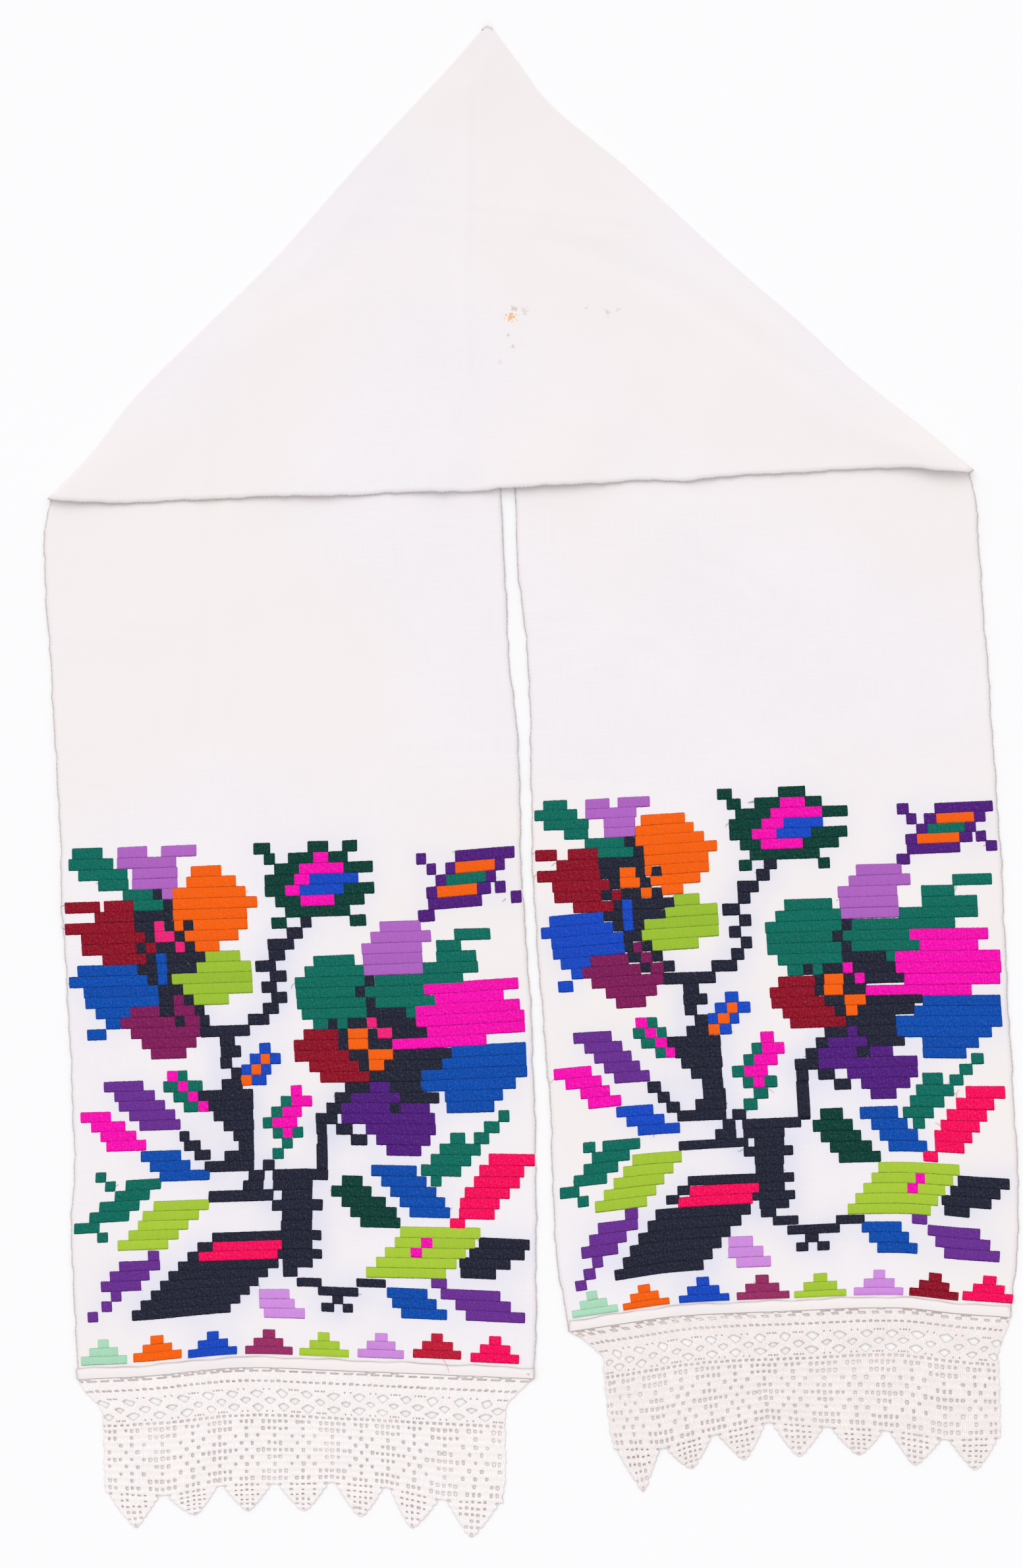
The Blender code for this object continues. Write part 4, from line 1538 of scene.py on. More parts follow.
def worked_piece(name: str, layout: Layout, strokes: Sequence[Any],
                 add: Callable[[MeshDraft, Any, int], None],
                 finishes: dict[Thread, bpy.types.Material]) -> bpy.types.Object:
    """Work blocks of stitches or loose ends into one piece, dressed in their threads.

    Args:
        name: the piece's name.
        layout: where it goes.
        strokes: the blocks or ends, each with its thread.
        add: adds one of them to the patches, with its material slot.
        finishes: the material of each thread.

    Returns:
        The piece.
    """
    draft = MeshDraft()
    threads = list(dict.fromkeys(stroke.thread for stroke in strokes))
    for stroke in strokes:
        add(draft, stroke, threads.index(stroke.thread))
    piece = draft.piece(name, layout, "stitches")
    for thread in threads:
        piece.data.materials.append(finishes[thread])
    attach(piece, "root")
    return piece


def strays(draw: random.Random, reach: float, count: int) -> Floats:
    """Random numbers from -reach to reach."""
    return np.array([draw.uniform(-reach, reach) for _ in range(count)])


@dataclass
class Needlework:
    """The satin-stitched flowers of one arm."""

    plan: ArmPlan
    chart: dict[Kind, tuple[Motif, ...]]
    layout: Layout
    seed: int
    lift: float = 0.65            # how high a block of stitches stands above the cloth, in mm
    sink: float = 0.1
    thread_width: float = 1.35
    ridge: float = 0.04
    ridge_stray: float = 0.04
    first_ridge: float = 0.9      # how far in from its side a block's first thread lies, in mm
    side_inset: float = 0.3       # how far in its rounded side reaches, in mm
    side_rise: float = 0.7
    side_tucks: Pair = (0.08, 0.03)   # how much its side threads are shorter
    stray: float = 0.07           # how far the sides of a block stray, in columns
    end_stray: float = 0.02       # how far the ends of its stitches stray, in rows
    top_stray: float = 0.03
    lap: float = 0.06             # how far blocks run into each other
    tones: Pair = (0.25, 0.75)
    tone_stray: float = 0.15
    tint_reach: float = 12.0
    tint_strength: float = 0.15

    def __post_init__(self) -> None:
        """Prepare the random draws and list the runs by their group."""
        self.draw = random.Random(self.seed)
        self.runs = {kind: [run for motif in self.chart[kind] for run in runs_of(motif)]
                     for kind in Kind}

    def block(self, draft: MeshDraft, run: Run, slot: int) -> None:
        """Add one block of stitches to a piece.

        Args:
            draft: the piece's patches.
            run: the block.
            slot: its thread's material slot.
        """
        draw = self.draw
        left = run.left - self.lap + draw.uniform(-self.stray, self.stray)
        right = run.right + self.lap + draw.uniform(-self.stray, self.stray)
        width = (right - left) * CLOTH_WIDTH / CHART_COLUMNS
        threads = max(3, round(width / self.thread_width))
        first, inset = self.first_ridge / width, self.side_inset / width
        inner = np.linspace(first, 1.0 - first, 2 * threads - 1)
        share = np.concatenate([[0.0, inset], inner, [1.0 - inset, 1.0]])
        steps, rise = (np.array(column) for column in zip(*STITCH_SECTIONS))
        count = len(share)
        ends = np.ones(count)
        ends[[0, -1]] = 0.0
        ends[[1, -2]] = self.side_rise
        tuck = np.zeros(count)
        tuck[[0, -1]], tuck[[1, -2]] = self.side_tucks
        ragged = strays(draw, self.end_stray, count)
        wander = strays(draw, self.top_stray, 2)
        bottom = run.bottom + self.lap + ragged
        top = run.top - self.lap - ragged[::-1] + mix(wander[0], wander[1], share)
        slant = run.rise * (share - 0.5)
        upper = top + tuck - slant
        lower = bottom - tuck - slant
        row = lower[None, :] + (upper - lower)[None, :] * steps[:, None]
        column = np.broadcast_to(left + (right - left) * share, row.shape)
        x, y = self.plan.chart_spot(column, row)
        ridges = np.where(np.arange(count) % 2 == 0, self.ridge, -self.ridge)
        ridges = ridges + strays(draw, self.ridge_stray, count)
        height = (self.lift * ends[None, :] + ridges[None, :] * ends[None, :]) * rise[:, None]
        z = arm_top(x, y) - self.sink + height + self.sink * rise[:, None]
        u = np.broadcast_to(share * width * MM + draw.uniform(0.0, 1.0), row.shape)
        v = np.broadcast_to(steps[:, None], row.shape)
        base = draw.uniform(*self.tones)
        tones = np.clip(base + strays(draw, self.tone_stray, count), 0.0, 1.0)
        shade = np.broadcast_to(tones, row.shape)
        draft.add_grid(np.stack([x, y, z], axis=-1), np.stack([u, v], axis=-1), shade, slot)

    def build(self, kind: Kind, finishes: dict[Thread, bpy.types.Material]) -> bpy.types.Object:
        """Make and dress the piece of one group of motifs, with the material of each thread."""
        name = f"{kind.value}_{self.plan.name}"
        return worked_piece(name, self.layout, self.runs[kind], self.block, finishes)

    def tint_near_blocks_at(self, x: Floats, y: Floats) -> Floats:
        """How strongly the cloth is tinted blue near the darker blocks.

        Args:
            x: X of the places.
            y: Y of the places.

        Returns:
            A share from 0 to 1 for each place.
        """
        clear = np.ones_like(x)
        for run in (run for runs in self.runs.values() for run in runs):
            if run.thread not in TINT_NEAR_BLOCKS:
                continue
            columns = np.array([run.left, run.right, run.left, run.right])
            rows = np.array([run.top, run.top, run.bottom, run.bottom])
            corner_x, corner_y = self.plan.chart_spot(columns, rows)
            away_x = np.maximum(np.abs(x - corner_x.mean()) - np.ptp(corner_x) / 2, 0.0)
            away_y = np.maximum(np.abs(y - corner_y.mean()) - np.ptp(corner_y) / 2, 0.0)
            reach = np.exp(-(away_x ** 2 + away_y ** 2) / self.tint_reach ** 2)
            clear *= 1.0 - self.tint_strength * TINT_NEAR_BLOCKS[run.thread] * reach
        return 1.0 - clear


class LooseEnd(NamedTuple):
    """A thread that has come loose, from a place of the chart, with its bearing in degrees.

    It rises by the last of its lengths in millimetres, where it climbs on to the hem.
    """

    thread: Thread
    column: float
    row: float
    bearing: float
    length: float
    curl: float
    rise: float = 0.0


LEFT_LOOSE_ENDS = (
    LooseEnd(Thread.CARMINE, 37.1, 51.0, -50, 14, -35, 1.9),
    LooseEnd(Thread.TEAL, 23, 13.4, 190, 7, 90),
    LooseEnd(Thread.ORANGE, 32.6, 20.1, -70, 8, -60),
    LooseEnd(Thread.HOT_PINK, 33.2, 18.1, 100, 4, 160),
    LooseEnd(Thread.BRIGHT_BLUE, 38.2, 19.6, -120, 5, 120),
    LooseEnd(Thread.TEAL, 41, 28.8, -80, 9, -30),
    LooseEnd(Thread.BLUE, 0.1, 12.6, 200, 4, 130),
    LooseEnd(Thread.DARK_RED, 0.1, 5.4, 170, 5, 70),
    LooseEnd(Thread.DARK_RED, 0.0, 7.6, 190, 6, -110),
    LooseEnd(Thread.ORANGE, 8.2, 50.8, 200, 7, 60),
    LooseEnd(Thread.LIME, 12.6, 11.4, 175, 6, -80),
    LooseEnd(Thread.ORANGE, 11.1, 4.2, 150, 5, 60),
    LooseEnd(Thread.BRIGHT_BLUE, 30, 30.9, 250, 4, 40),
    LooseEnd(Thread.PURPLE, 44.9, 6.1, 250, 4, -60),
)
RIGHT_LOOSE_ENDS = (
    LooseEnd(Thread.DARK_RED, 0.2, 7.0, 165, 6, 150),
    LooseEnd(Thread.DARK_RED, 0.1, 4.9, 170, 4, 80),
    LooseEnd(Thread.DARK_RED, 2.1, 5.9, 200, 5, 30),
    LooseEnd(Thread.LIME, 12.9, 10.7, 160, 6, 70),
    LooseEnd(Thread.LIME, 10.6, 13.6, 200, 4, -60),
    LooseEnd(Thread.ORANGE, 10.2, 3.9, 150, 5, -40),
    LooseEnd(Thread.HOT_PINK, 0.4, 26.3, 240, 7, -30),
    LooseEnd(Thread.DARK_GREEN, 22.2, 0.7, 185, 6, 30),
    LooseEnd(Thread.DARK_GREEN, 22.2, 0.8, 195, 5, -40),
    LooseEnd(Thread.DARK_GREEN, 19.6, 2.8, 160, 5, 140),
    LooseEnd(Thread.TEAL, 42, 9.1, -80, 8, -60),
    LooseEnd(Thread.LILAC, 31.8, 25.1, -30, 10, -70),
    LooseEnd(Thread.HOT_PINK, 21.6, 28.1, -25, 9, -20),
    LooseEnd(Thread.TEAL, 1.9, 36.3, 240, 9, 160),
    LooseEnd(Thread.RED_PINK, 40.9, 29.6, 100, 8, -60),
    LooseEnd(Thread.RED_PINK, 39.2, 32.5, 110, 7, 70),
    LooseEnd(Thread.BRIGHT_BLUE, 10.1, 32.2, 250, 4, 40),
    LooseEnd(Thread.BLACK, 19, 34.3, 240, 5, -90),
    LooseEnd(Thread.PURPLE, 3.2, 43.4, 230, 4, 60),
)


@dataclass
class Frays:
    """The loose thread ends of one arm's embroidery."""

    work: Needlework
    ends: tuple[LooseEnd, ...]
    seed: int
    strays: int = 34              # how many more short ends stick out of the blocks' sides
    stray_lengths: Pair = (1.2, 3.0)
    stray_bearing: float = 70.0   # how far they turn from straight across, in degrees
    stray_curl: float = 80.0
    radius: float = 0.17
    taper: float = 0.5
    arch: float = 0.35            # how high an end bows off the cloth, in mm
    climb_share: float = 1 / 3    # in which share of its length it climbs on to the hem
    ply_width: float = 0.0001     # how much texture one radian round it takes, in metres
    ply_run: Pair = (0.5, 0.3)    # where along a stitch its texture starts, and how far it runs
    tone: float = 0.6
    steps: int = 12
    sides: int = 5

    def chosen(self) -> list[LooseEnd]:
        """Choose the ends.

        Returns:
            The placed ends, and short ones drawn from the blocks' sides.
        """
        draw = random.Random(self.seed)
        runs = [run for runs in self.work.runs.values() for run in runs]
        ends = list(self.ends)
        for run in draw.sample(runs, self.strays):
            at_right = draw.random() < 0.5
            column = (run.right if at_right else run.left) - CHART_MARGIN
            row = draw.uniform(run.top, run.bottom)
            bearing = 0.0 if at_right else 180.0
            bearing += draw.uniform(-self.stray_bearing, self.stray_bearing)
            ends.append(LooseEnd(run.thread, column, row, bearing, draw.uniform(*self.stray_lengths),
                                 draw.uniform(-self.stray_curl, self.stray_curl)))
        return ends

    def strand(self, draft: MeshDraft, end: LooseEnd, slot: int) -> None:
        """Add one thread that curls as it goes.

        Args:
            draft: the piece's patches.
            end: the loose end.
            slot: its thread's material slot.
        """
        plan = self.work.plan
        column, row = np.array(end.column + CHART_MARGIN), np.array(end.row)
        x, y = (float(value) for value in plan.chart_spot(column, row))
        share = np.linspace(0.0, 1.0, self.steps + 1)
        bearing = np.radians(end.bearing + end.curl * share)
        stride = end.length / self.steps
        line_x = x + np.concatenate([[0.0], np.cumsum(np.cos(bearing[:-1]))]) * stride
        line_y = y + np.concatenate([[0.0], np.cumsum(np.sin(bearing[:-1]))]) * stride
        line_z = arm_top(line_x, line_y) + self.radius + self.arch * np.sin(math.pi * share)
        line_z += end.rise * smooth(share / self.climb_share)
        round_it = np.linspace(0.0, math.tau, self.sides + 1)
        thin = self.radius * (1.0 - self.taper * share)
        out = np.cos(round_it)[None, :] * thin[:, None]
        points = np.stack([line_x[:, None] - np.sin(bearing)[:, None] * out,
                           line_y[:, None] + np.cos(bearing)[:, None] * out,
                           line_z[:, None] + np.sin(round_it)[None, :] * thin[:, None]], axis=-1)
        start, run = self.ply_run
        uv = np.stack(np.broadcast_arrays(round_it[None, :] * self.ply_width,
                                          start + run * share[:, None]), axis=-1)
        draft.add_grid(points, uv, self.tone, slot)

    def build(self, finishes: dict[Thread, bpy.types.Material]) -> bpy.types.Object:
        """Make and dress the loose ends as one piece, with the material of each thread."""
        name = f"loose_ends_{self.work.plan.name}"
        return worked_piece(name, self.work.layout, self.chosen(), self.strand, finishes)


SELVEDGE_WAVES = (
    Wave(73.0, 0.35),
    Wave(31.0, 0.3),
    Wave(17.0, 0.3),
    Wave(12.0, 0.2),
)
FLAP_WAVES = (
    Wave(64.53, 0.5),
    Wave(28.7664, 0.35),
)


@dataclass
class Homespun:
    """The strip of cloth: two arms, the triangle that crosses over them, and their hems."""

    across_steps: int = 80
    arm_steps: int = 134
    slant_steps: int = 26
    front_steps: int = 160
    bend_steps: int = 6
    stray_seed: int = 5
    stray_share: float = 0.3      # how far the threads next to a selvedge stray along with it

    def half(self, plan: ArmPlan) -> Floats:
        """The rulings of one arm from its hem flap up to its slanted fold.

        Args:
            plan: the arm.

        Returns:
            A block of points, one row for each ruling.
        """
        across = np.linspace(0.0, 1.0, self.across_steps + 1)
        turned_up = plan.hem_line(across, math.pi)
        reach = HEM_FLAP + strayed(FLAP_WAVES, across * CLOTH_WIDTH, (0.0, plan.side))
        flap = np.stack([np.zeros_like(across), reach, np.zeros_like(across)], axis=-1)
        lines = [turned_up + flap * share for share in FLAP_SHARES]
        for step in range(self.bend_steps, -1, -1):
            lines.append(plan.hem_line(across, math.pi * step / self.bend_steps))
        for step in range(1, self.arm_steps + 1):
            lines.append(plan.straight_line(across, step / self.arm_steps))
        for step in range(1, self.slant_steps):
            lines.append(plan.slant_line(across, step / self.slant_steps))
        for step in range(self.bend_steps + 1):
            lines.append(plan.fold_line(across, math.pi * step / self.bend_steps))
        block = np.stack(lines)
        block[..., 2] += arm_rise(block[..., 0], block[..., 1])
        return block

    def front(self, left: Floats, right: Floats) -> Floats:
        """The rulings of the triangle, between its two slanted folds.

        Args:
            left: the last ruling of the left fold.
            right: the last ruling of the right fold.

        Returns:
            A block of points, one row for each ruling.
        """
        shares = np.linspace(0.0, 1.0, self.front_steps + 1)[1:-1, None]
        block = left[None] + (right - left)[None] * shares[..., None]
        x, y = block[..., 0], block[..., 1]
        near = np.where(shares < 0.5, left[None, :, 2], right[None, :, 2])
        inset = np.minimum(shares, 1.0 - shares) * (right[:, 0] - left[:, 0])[None]
        level = CLOTH_REST + 2.0 * FOLD_RADIUS
        z = mix(level, near, np.exp(-(inset / CORNER_SPREAD) ** 2))
        lift = Curve(FOOT_ROWS, "lift").at(x) * FOOT_SETTLED
        rise = Curve(FOOT_ROWS, "rise").at(x)
        z += lift * np.exp(-(y / FOOT_LIFT_REACH) ** 2)
        z += TRIANGLE_RELIEF.height(x, y) * smooth(inset / RELIEF_INSET)
        peak = smooth((y - (1.0 - PEAK_SHARE) * PEAK_HEIGHT) / (PEAK_SHARE * PEAK_HEIGHT))
        y = y + rise * np.exp(-(y / FOOT_WAVE_REACH) ** 2) + PEAK_RISE * np.sin(math.pi * shares) * peak
        return np.stack([x, y, z], axis=-1)

    def rulings(self) -> Floats:
        """Every ruling of the strip, from the left hem flap to the right one."""
        left, right = (self.half(plan) for plan in ARMS)
        return np.concatenate([left, self.front(left[-1], right[-1]), right[::-1]])

    def with_selvedges(self, points: Floats) -> Floats:
        """Let both selvedges stray a little from their smooth lines.

        Args:
            points: the rulings.

        Returns:
            The rulings with their ends moved.
        """
        points = points.copy()
        along = np.linspace(0.0, CLOTH_LENGTH, len(points))
        draw = random.Random(self.stray_seed)
        for edge, inward in ((0, 1), (-1, -1)):
            shifts = [draw.uniform(0.0, math.tau) for _ in SELVEDGE_WAVES]
            step = points[:, edge + inward] - points[:, edge]
            step /= np.linalg.norm(step, axis=-1, keepdims=True)
            step *= strayed(SELVEDGE_WAVES, along, shifts)[:, None]
            points[:, edge] += step
            points[:, edge + inward] += step * self.stray_share
        return points

    def build(self, points: Floats, layout: Layout, works: Sequence[Needlework],
              finish: HomespunFinish) -> bpy.types.Object:
        """Make and dress the cloth.

        Args:
            points: its rulings.
            layout: where it goes.
            works: the embroidery whose darker blocks tint the cloth near them.
            finish: its finish.

        Returns:
            The cloth.
        """
        count = len(points)
        v = np.linspace(0.0, CLOTH_LENGTH * MM, count)
        u = np.linspace(0.0, CLOTH_WIDTH * MM, self.across_steps + 1)
        uv = np.stack(np.broadcast_arrays(u[None, :], v[:, None]), axis=-1)
        draft = MeshDraft()
        draft.add_grid(points, uv)
        cloth = draft.piece("cloth_strip", layout, "threads")
        grow_thick(cloth, CLOTH_THICKNESS)

        block_tint = np.zeros(points.shape[:2])
        half = len(FLAP_SHARES) + self.bend_steps + 1 + self.arm_steps
        for work, part in zip(works, (slice(0, half), slice(count - half, count))):
            block_tint[part] = work.tint_near_blocks_at(points[part, :, 0], points[part, :, 1])
        turned = len(FLAP_SHARES) + self.bend_steps // 2
        hem = np.zeros(points.shape[:2])
        hem[:turned] = 1.0
        hem[count - turned:] = 1.0
        add_level(cloth.data, "block_tint", block_tint)
        add_level(cloth.data, "hem", hem)
        cloth.data.materials.append(finish.make(layout))
        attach(cloth, "root")
        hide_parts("cloth")
        return cloth


class Seam(Enum):
    """How the first rows of a lace hold on to its hem."""

    LONG_LOOPS = "long loops"
    ARCHES = "arches"


# One repeat of the filet ground, a row for each row of trebles from the top: "o" is an open mesh
# and "-" a filled one. The repeat starts at a notch, and its sixth mesh lies over a tip.
GROUND_CHART = (
    "ooo-ooo-oo",
    "ooo--o--oo",
    "o--o-o-o--",
    "oo--o-o--o",
    "oooo-o-ooo",
    "oo--o-o--o",
    "o--o-o-o--",
    "ooo--o--oo",
    "ooo-ooo-oo",
    "-o-ooooo-o",
    "---ooooo--",
    "---ooooo--",
    "----ooo---",
    "----ooo---",
    "-----o----",
)


class OutlineRow(NamedTuple):
    """How wide half a point is at a depth, in columns."""

    depth: float
    half: float


POINT_OUTLINE = (
    OutlineRow(0, 5.6),
    OutlineRow(94, 5.6),
    OutlineRow(96.5, 4.5),
    OutlineRow(99, 4.05),
    OutlineRow(104, 3.35),
    OutlineRow(110, 2.5),
    OutlineRow(116, 1.5),
    OutlineRow(120, 0.75),
    OutlineRow(122, 0.3),
)


class HoleRow(NamedTuple):
    """A row of like holes: depth and half sizes in millimetres, pitch and start in columns.

    line is the line of the unevenness that it draws on.
    """

    line: int
    depth: float
    half_x: float
    half_y: float
    pitch: float
    start: float


TRELLIS_PITCH = 4.375         # from diamond to diamond, in columns
TRELLIS_START = 1.0
BETWEEN_DIAMONDS = TRELLIS_START + TRELLIS_PITCH / 2
HOLDING_ROWS = {
    Seam.LONG_LOOPS: (
        HoleRow(0, 0.7, 3.4, 0.42, 2.1, 1.0),
        HoleRow(1, 2.5, 3.3, 0.5, 2.1, 2.0),
    ),
    Seam.ARCHES: (
        HoleRow(0, 0.8, 3.2, 0.42, 2.1, 1.0),
        HoleRow(1, 3.4, 2.3, 0.8, 2.1, 2.0),
    ),
}
MESH_ROWS = (
    HoleRow(2, 10.6, 1.35, 0.72, 1.05, 0.0),
    HoleRow(3, 39.2, 1.3, 0.8, 1.1, 0.0),
)
DIAMOND_ROWS = (
    HoleRow(5, 21.2, 4.9, 3.5, TRELLIS_PITCH, TRELLIS_START),
    HoleRow(6, 27.0, 4.3, 2.6, TRELLIS_PITCH, BETWEEN_DIAMONDS),
    HoleRow(7, 32.6, 4.9, 3.2, TRELLIS_PITCH, TRELLIS_START),
)
SOLID = 2.0                   # the distance that stands for no hole near, in mm
WELL_INSIDE = 5.0             # and the one that stands for no outline near
FAN_ROWS = (
    HoleRow(0, 17.4, 0.34, 0.6, TRELLIS_PITCH, BETWEEN_DIAMONDS),
    HoleRow(0, 35.6, 0.34, 0.6, TRELLIS_PITCH, BETWEEN_DIAMONDS),
)
FAN_SLITS = (-1.5, -0.5, 0.5, 1.5)


class Oddness(NamedTuple):
    """How far the holes of a row stray, at the most: their place in mm, their size as shares."""

    across: float
    down: float
    width: float
    height: float


MESH_ODDNESS = Oddness(0.25, 0.12, 0.14, 0.14)
DIAMOND_ODDNESS = Oddness(0.4, 0.3, 0.12, 0.16)
GROUND_ODDNESS = Oddness(0.3, 0.3, 0.3, 0.3)   # here the sizes are in mm too


SIDE_WAVES = (
    Wave(7.3, 1.0),
    Wave(4.3, 0.7),
    Wave(17.0, 1.0),
)


@dataclass
class CrochetEdging:
    """The crochet lace along one hem: a holding row, trebles, a trellis, and a filet ground.

    It is laid out flat in columns across and millimetres down, cut by its holes, then brought to
    its place along the hem.
    """

    plan: ArmPlan
    layout: Layout
    seam: Seam
    seed: int
    columns_per_point: int = 10
    column: float = 4.6           # the width of a column as laid out
    steps_per_column: int = 5
    depth_step: float = 0.95
    notch_depth: float = 98.0
    tip_depth: float = 122.0
    ground_top: float = 41.05
    ground_row: float = 5.9
    point_row: float = 4.7
    full_rows: int = 9
    trellis_depth: float = 40.0   # down to here it hangs as laid out
    points_start: float = 90.0    # above this the lace has no outline of its own
    mesh_half: float = 1.08       # half the width of an open mesh of the ground
    treble_half: float = 1.7      # how far the ground's threads reach into a mesh from above
    corner_share: float = 0.45    # how round a hole's corners are
    point_step: float = 0.12      # how far a point's sides step in and out, in columns
    point_slope: float = 0.8
    slit_gap: float = 2.3
    slit_spread: float = 0.3      # how fast the slits of a fan part downwards
    thickness: float = 0.7
    rim_share: float = 0.45       # how thick a hole's rim is against the rest
    rim_nudge: float = 0.05       # the reach, in mm, over which a hole's slope is measured
    rim_slope: float = 0.3        # the least slope that counts
    rim_search: float = 0.55      # how far off a rim a point is still drawn to it, in mm
    rim_step: float = 0.5         # how far it is drawn at a time, in mm
    rim_rounds: int = 2
    rest: float = 0.55
    stray: float = 0.35           # how far its two sides stray, in mm
    bow: float = 0.2              # how far the trellis' diamonds bend upwards at their ends
    side_chain: float = 1.3       # the width of the closed chain along both sides, in mm
    side_reach: float = 60.0      # how fast that straying fades inwards
    side_start: float = 6.0       # how far below the hem it is in full, in mm
    diamond_lean: float = 0.15
    edge_width: float = 0.6
    edge_shade: float = 0.4       # how pale the painted rim shade is along the outer edge, against 0, its full strength, at the rims of holes
    chain: float = 0.22           # how high the ground's rows stand
    chain_start: float = 4.0      # how far above the ground they begin
    ripple: float = 0.25          # how high each of the lace's slow waves is
    ripples: int = 4
    ripple_lengths: Pair = (30.0, 120.0)

    def __post_init__(self) -> None:
        """Draw the unevenness of its meshes."""
        draw = np.random.default_rng(self.seed)
        columns = self.columns_per_point * len(self.plan.lace_points) + 2
        self.uneven = draw.uniform(-1.0, 1.0, size=(len(GROUND_CHART) + 8, columns, 4))

    @property
    def columns(self) -> int:
        """How many columns the whole lace has."""
        return self.columns_per_point * len(self.plan.lace_points)

    def oval(self, x: Floats, y: Floats, half_x: Floats, half_y: Floats) -> Floats:
        """The distance to a rounded hole.

        Args:
            x: places across, in millimetres from its middle.
            y: places down, in the same way.
            half_x: half its width.
            half_y: half its height.

        Returns:
            The distances, negative in the hole.
        """
        corner = self.corner_share * np.minimum(half_x, half_y)
        off_x = np.abs(x) - half_x + corner
        off_y = np.abs(y) - half_y + corner
        outside = np.hypot(np.maximum(off_x, 0.0), np.maximum(off_y, 0.0))
        return outside + np.minimum(np.maximum(off_x, off_y), 0.0) - corner

    def nearest(self, x: Floats, row: HoleRow) -> tuple[Floats, Floats]:
        """How far across each place is from the nearest hole of a row, and that hole's oddness.

        Args:
            x: places across, in columns.
            row: the row of holes.

        Returns:
            The distances in millimetres, and four numbers from -1 to 1 for each place.
        """
        number = np.round((x - row.start) / row.pitch)
        odd = self.uneven[row.line, np.clip(number, 0, self.uneven.shape[1] - 1).astype(int)]
        return (x - row.start - number * row.pitch) * self.column, odd

    def meshes(self, x: Floats, t: Floats, row: HoleRow) -> Floats:
        """The distance to a row of rounded meshes.

        Args:
            x: places across, in columns.
            t: places down, in millimetres.
            row: the row of holes.

        Returns:
            The distances, negative in a hole.
        """
        off, odd = self.nearest(x, row)
        limits = MESH_ODDNESS
        return self.oval(off + limits.across * odd[..., 0], t - row.depth + limits.down * odd[..., 1],
                         row.half_x * (1.0 + limits.width * odd[..., 2]),
                         row.half_y * (1.0 + limits.height * odd[..., 3]))

    def diamonds(self, x: Floats, t: Floats, row: HoleRow) -> Floats:
        """The distance to a row of the trellis' diamond holes, each a little bowed and uneven.

        Args:
            x: places across, in columns.
            t: places down, in millimetres.
            row: the row of holes.

        Returns:
            The distances, negative in a hole.
        """
        off, odd = self.nearest(x, row)
        limits = DIAMOND_ODDNESS
        off = off + limits.across * odd[..., 0]
        bent = self.bow * np.abs(off)
        down = t - row.depth + limits.down * odd[..., 1] + bent + self.diamond_lean * odd[..., 2] * off
        wide = row.half_x * (1.0 + limits.width * odd[..., 2])
        tall = row.half_y * (1.0 + limits.height * odd[..., 3])
        size = wide * tall / np.hypot(wide, tall)
        return (np.abs(off) / wide + np.abs(down) / tall - 1.0) * size

    def fans(self, x: Floats, t: Floats, row: HoleRow) -> Floats:
        """The distance to a row of fans of small slits, one between each two diamonds.

        Args:
            x: places across, in columns.
            t: places down, in millimetres.
            row: the row of fans, with the size of a slit.

        Returns:
            The distances, negative in a slit.
        """
        off, _ = self.nearest(x, row)
        down = t - row.depth
        apart = self.slit_gap + self.slit_spread * down
        return np.minimum.reduce([self.oval(off - slit * apart, down, row.half_x, row.half_y)
                                  for slit in FAN_SLITS])

    def ground(self, x: Floats, t: Floats) -> Floats:
        """The distance to the open meshes of the filet ground.

        Args:
            x: places across, in columns.
            t: places down, in millimetres.

        Returns:
            The distances, negative in a mesh.
        """
        below = t - self.ground_top
        turn = self.full_rows * self.ground_row
        row = np.where(below < turn, below / self.ground_row,
                       self.full_rows + (below - turn) / self.point_row)
        line = np.clip(np.floor(row), 0, len(GROUND_CHART) - 1).astype(int)
        height = np.where(below < turn, self.ground_row, self.point_row)
        number = np.clip(np.round(x), 0, self.uneven.shape[1] - 1).astype(int)
        is_open = np.array([[mark == "o" for mark in marks] for marks in GROUND_CHART])
        odd = self.uneven[line, number]
        limits = GROUND_ODDNESS
        off_x = (x - number) * self.column + limits.across * odd[..., 0]
        off_t = (row - line - 0.5) * height + limits.down * odd[..., 1]
        half_x = self.mesh_half + limits.width * odd[..., 2]
        half_t = height * 0.5 - self.treble_half + limits.height * odd[..., 3]
        gap = self.oval(off_x, off_t, half_x, half_t)
        closed = ~is_open[line, number % self.columns_per_point] | (below < 0.0)
        return np.where(closed, SOLID, gap)

    def outline(self, x: Floats, t: Floats) -> Floats:
        """How far places lie inside the lace's own outline.

        Args:
            x: places across, in columns.
            t: places down, in millimetres.

        Returns:
            The distances, negative outside it.
        """
        points = len(self.plan.lace_points)
        number = np.clip(np.floor(x / self.columns_per_point), 0, points - 1)
        middle = (number + 0.5) * self.columns_per_point
        half = Curve(POINT_OUTLINE, "half").at(t)
        stepped = self.point_step * np.sin(t * math.tau / self.point_row)
        side = (half + stepped - np.abs(x - middle)) * self.column * self.point_slope
        return np.where(t < self.points_start, WELL_INSIDE, np.minimum(side, self.tip_depth - t))

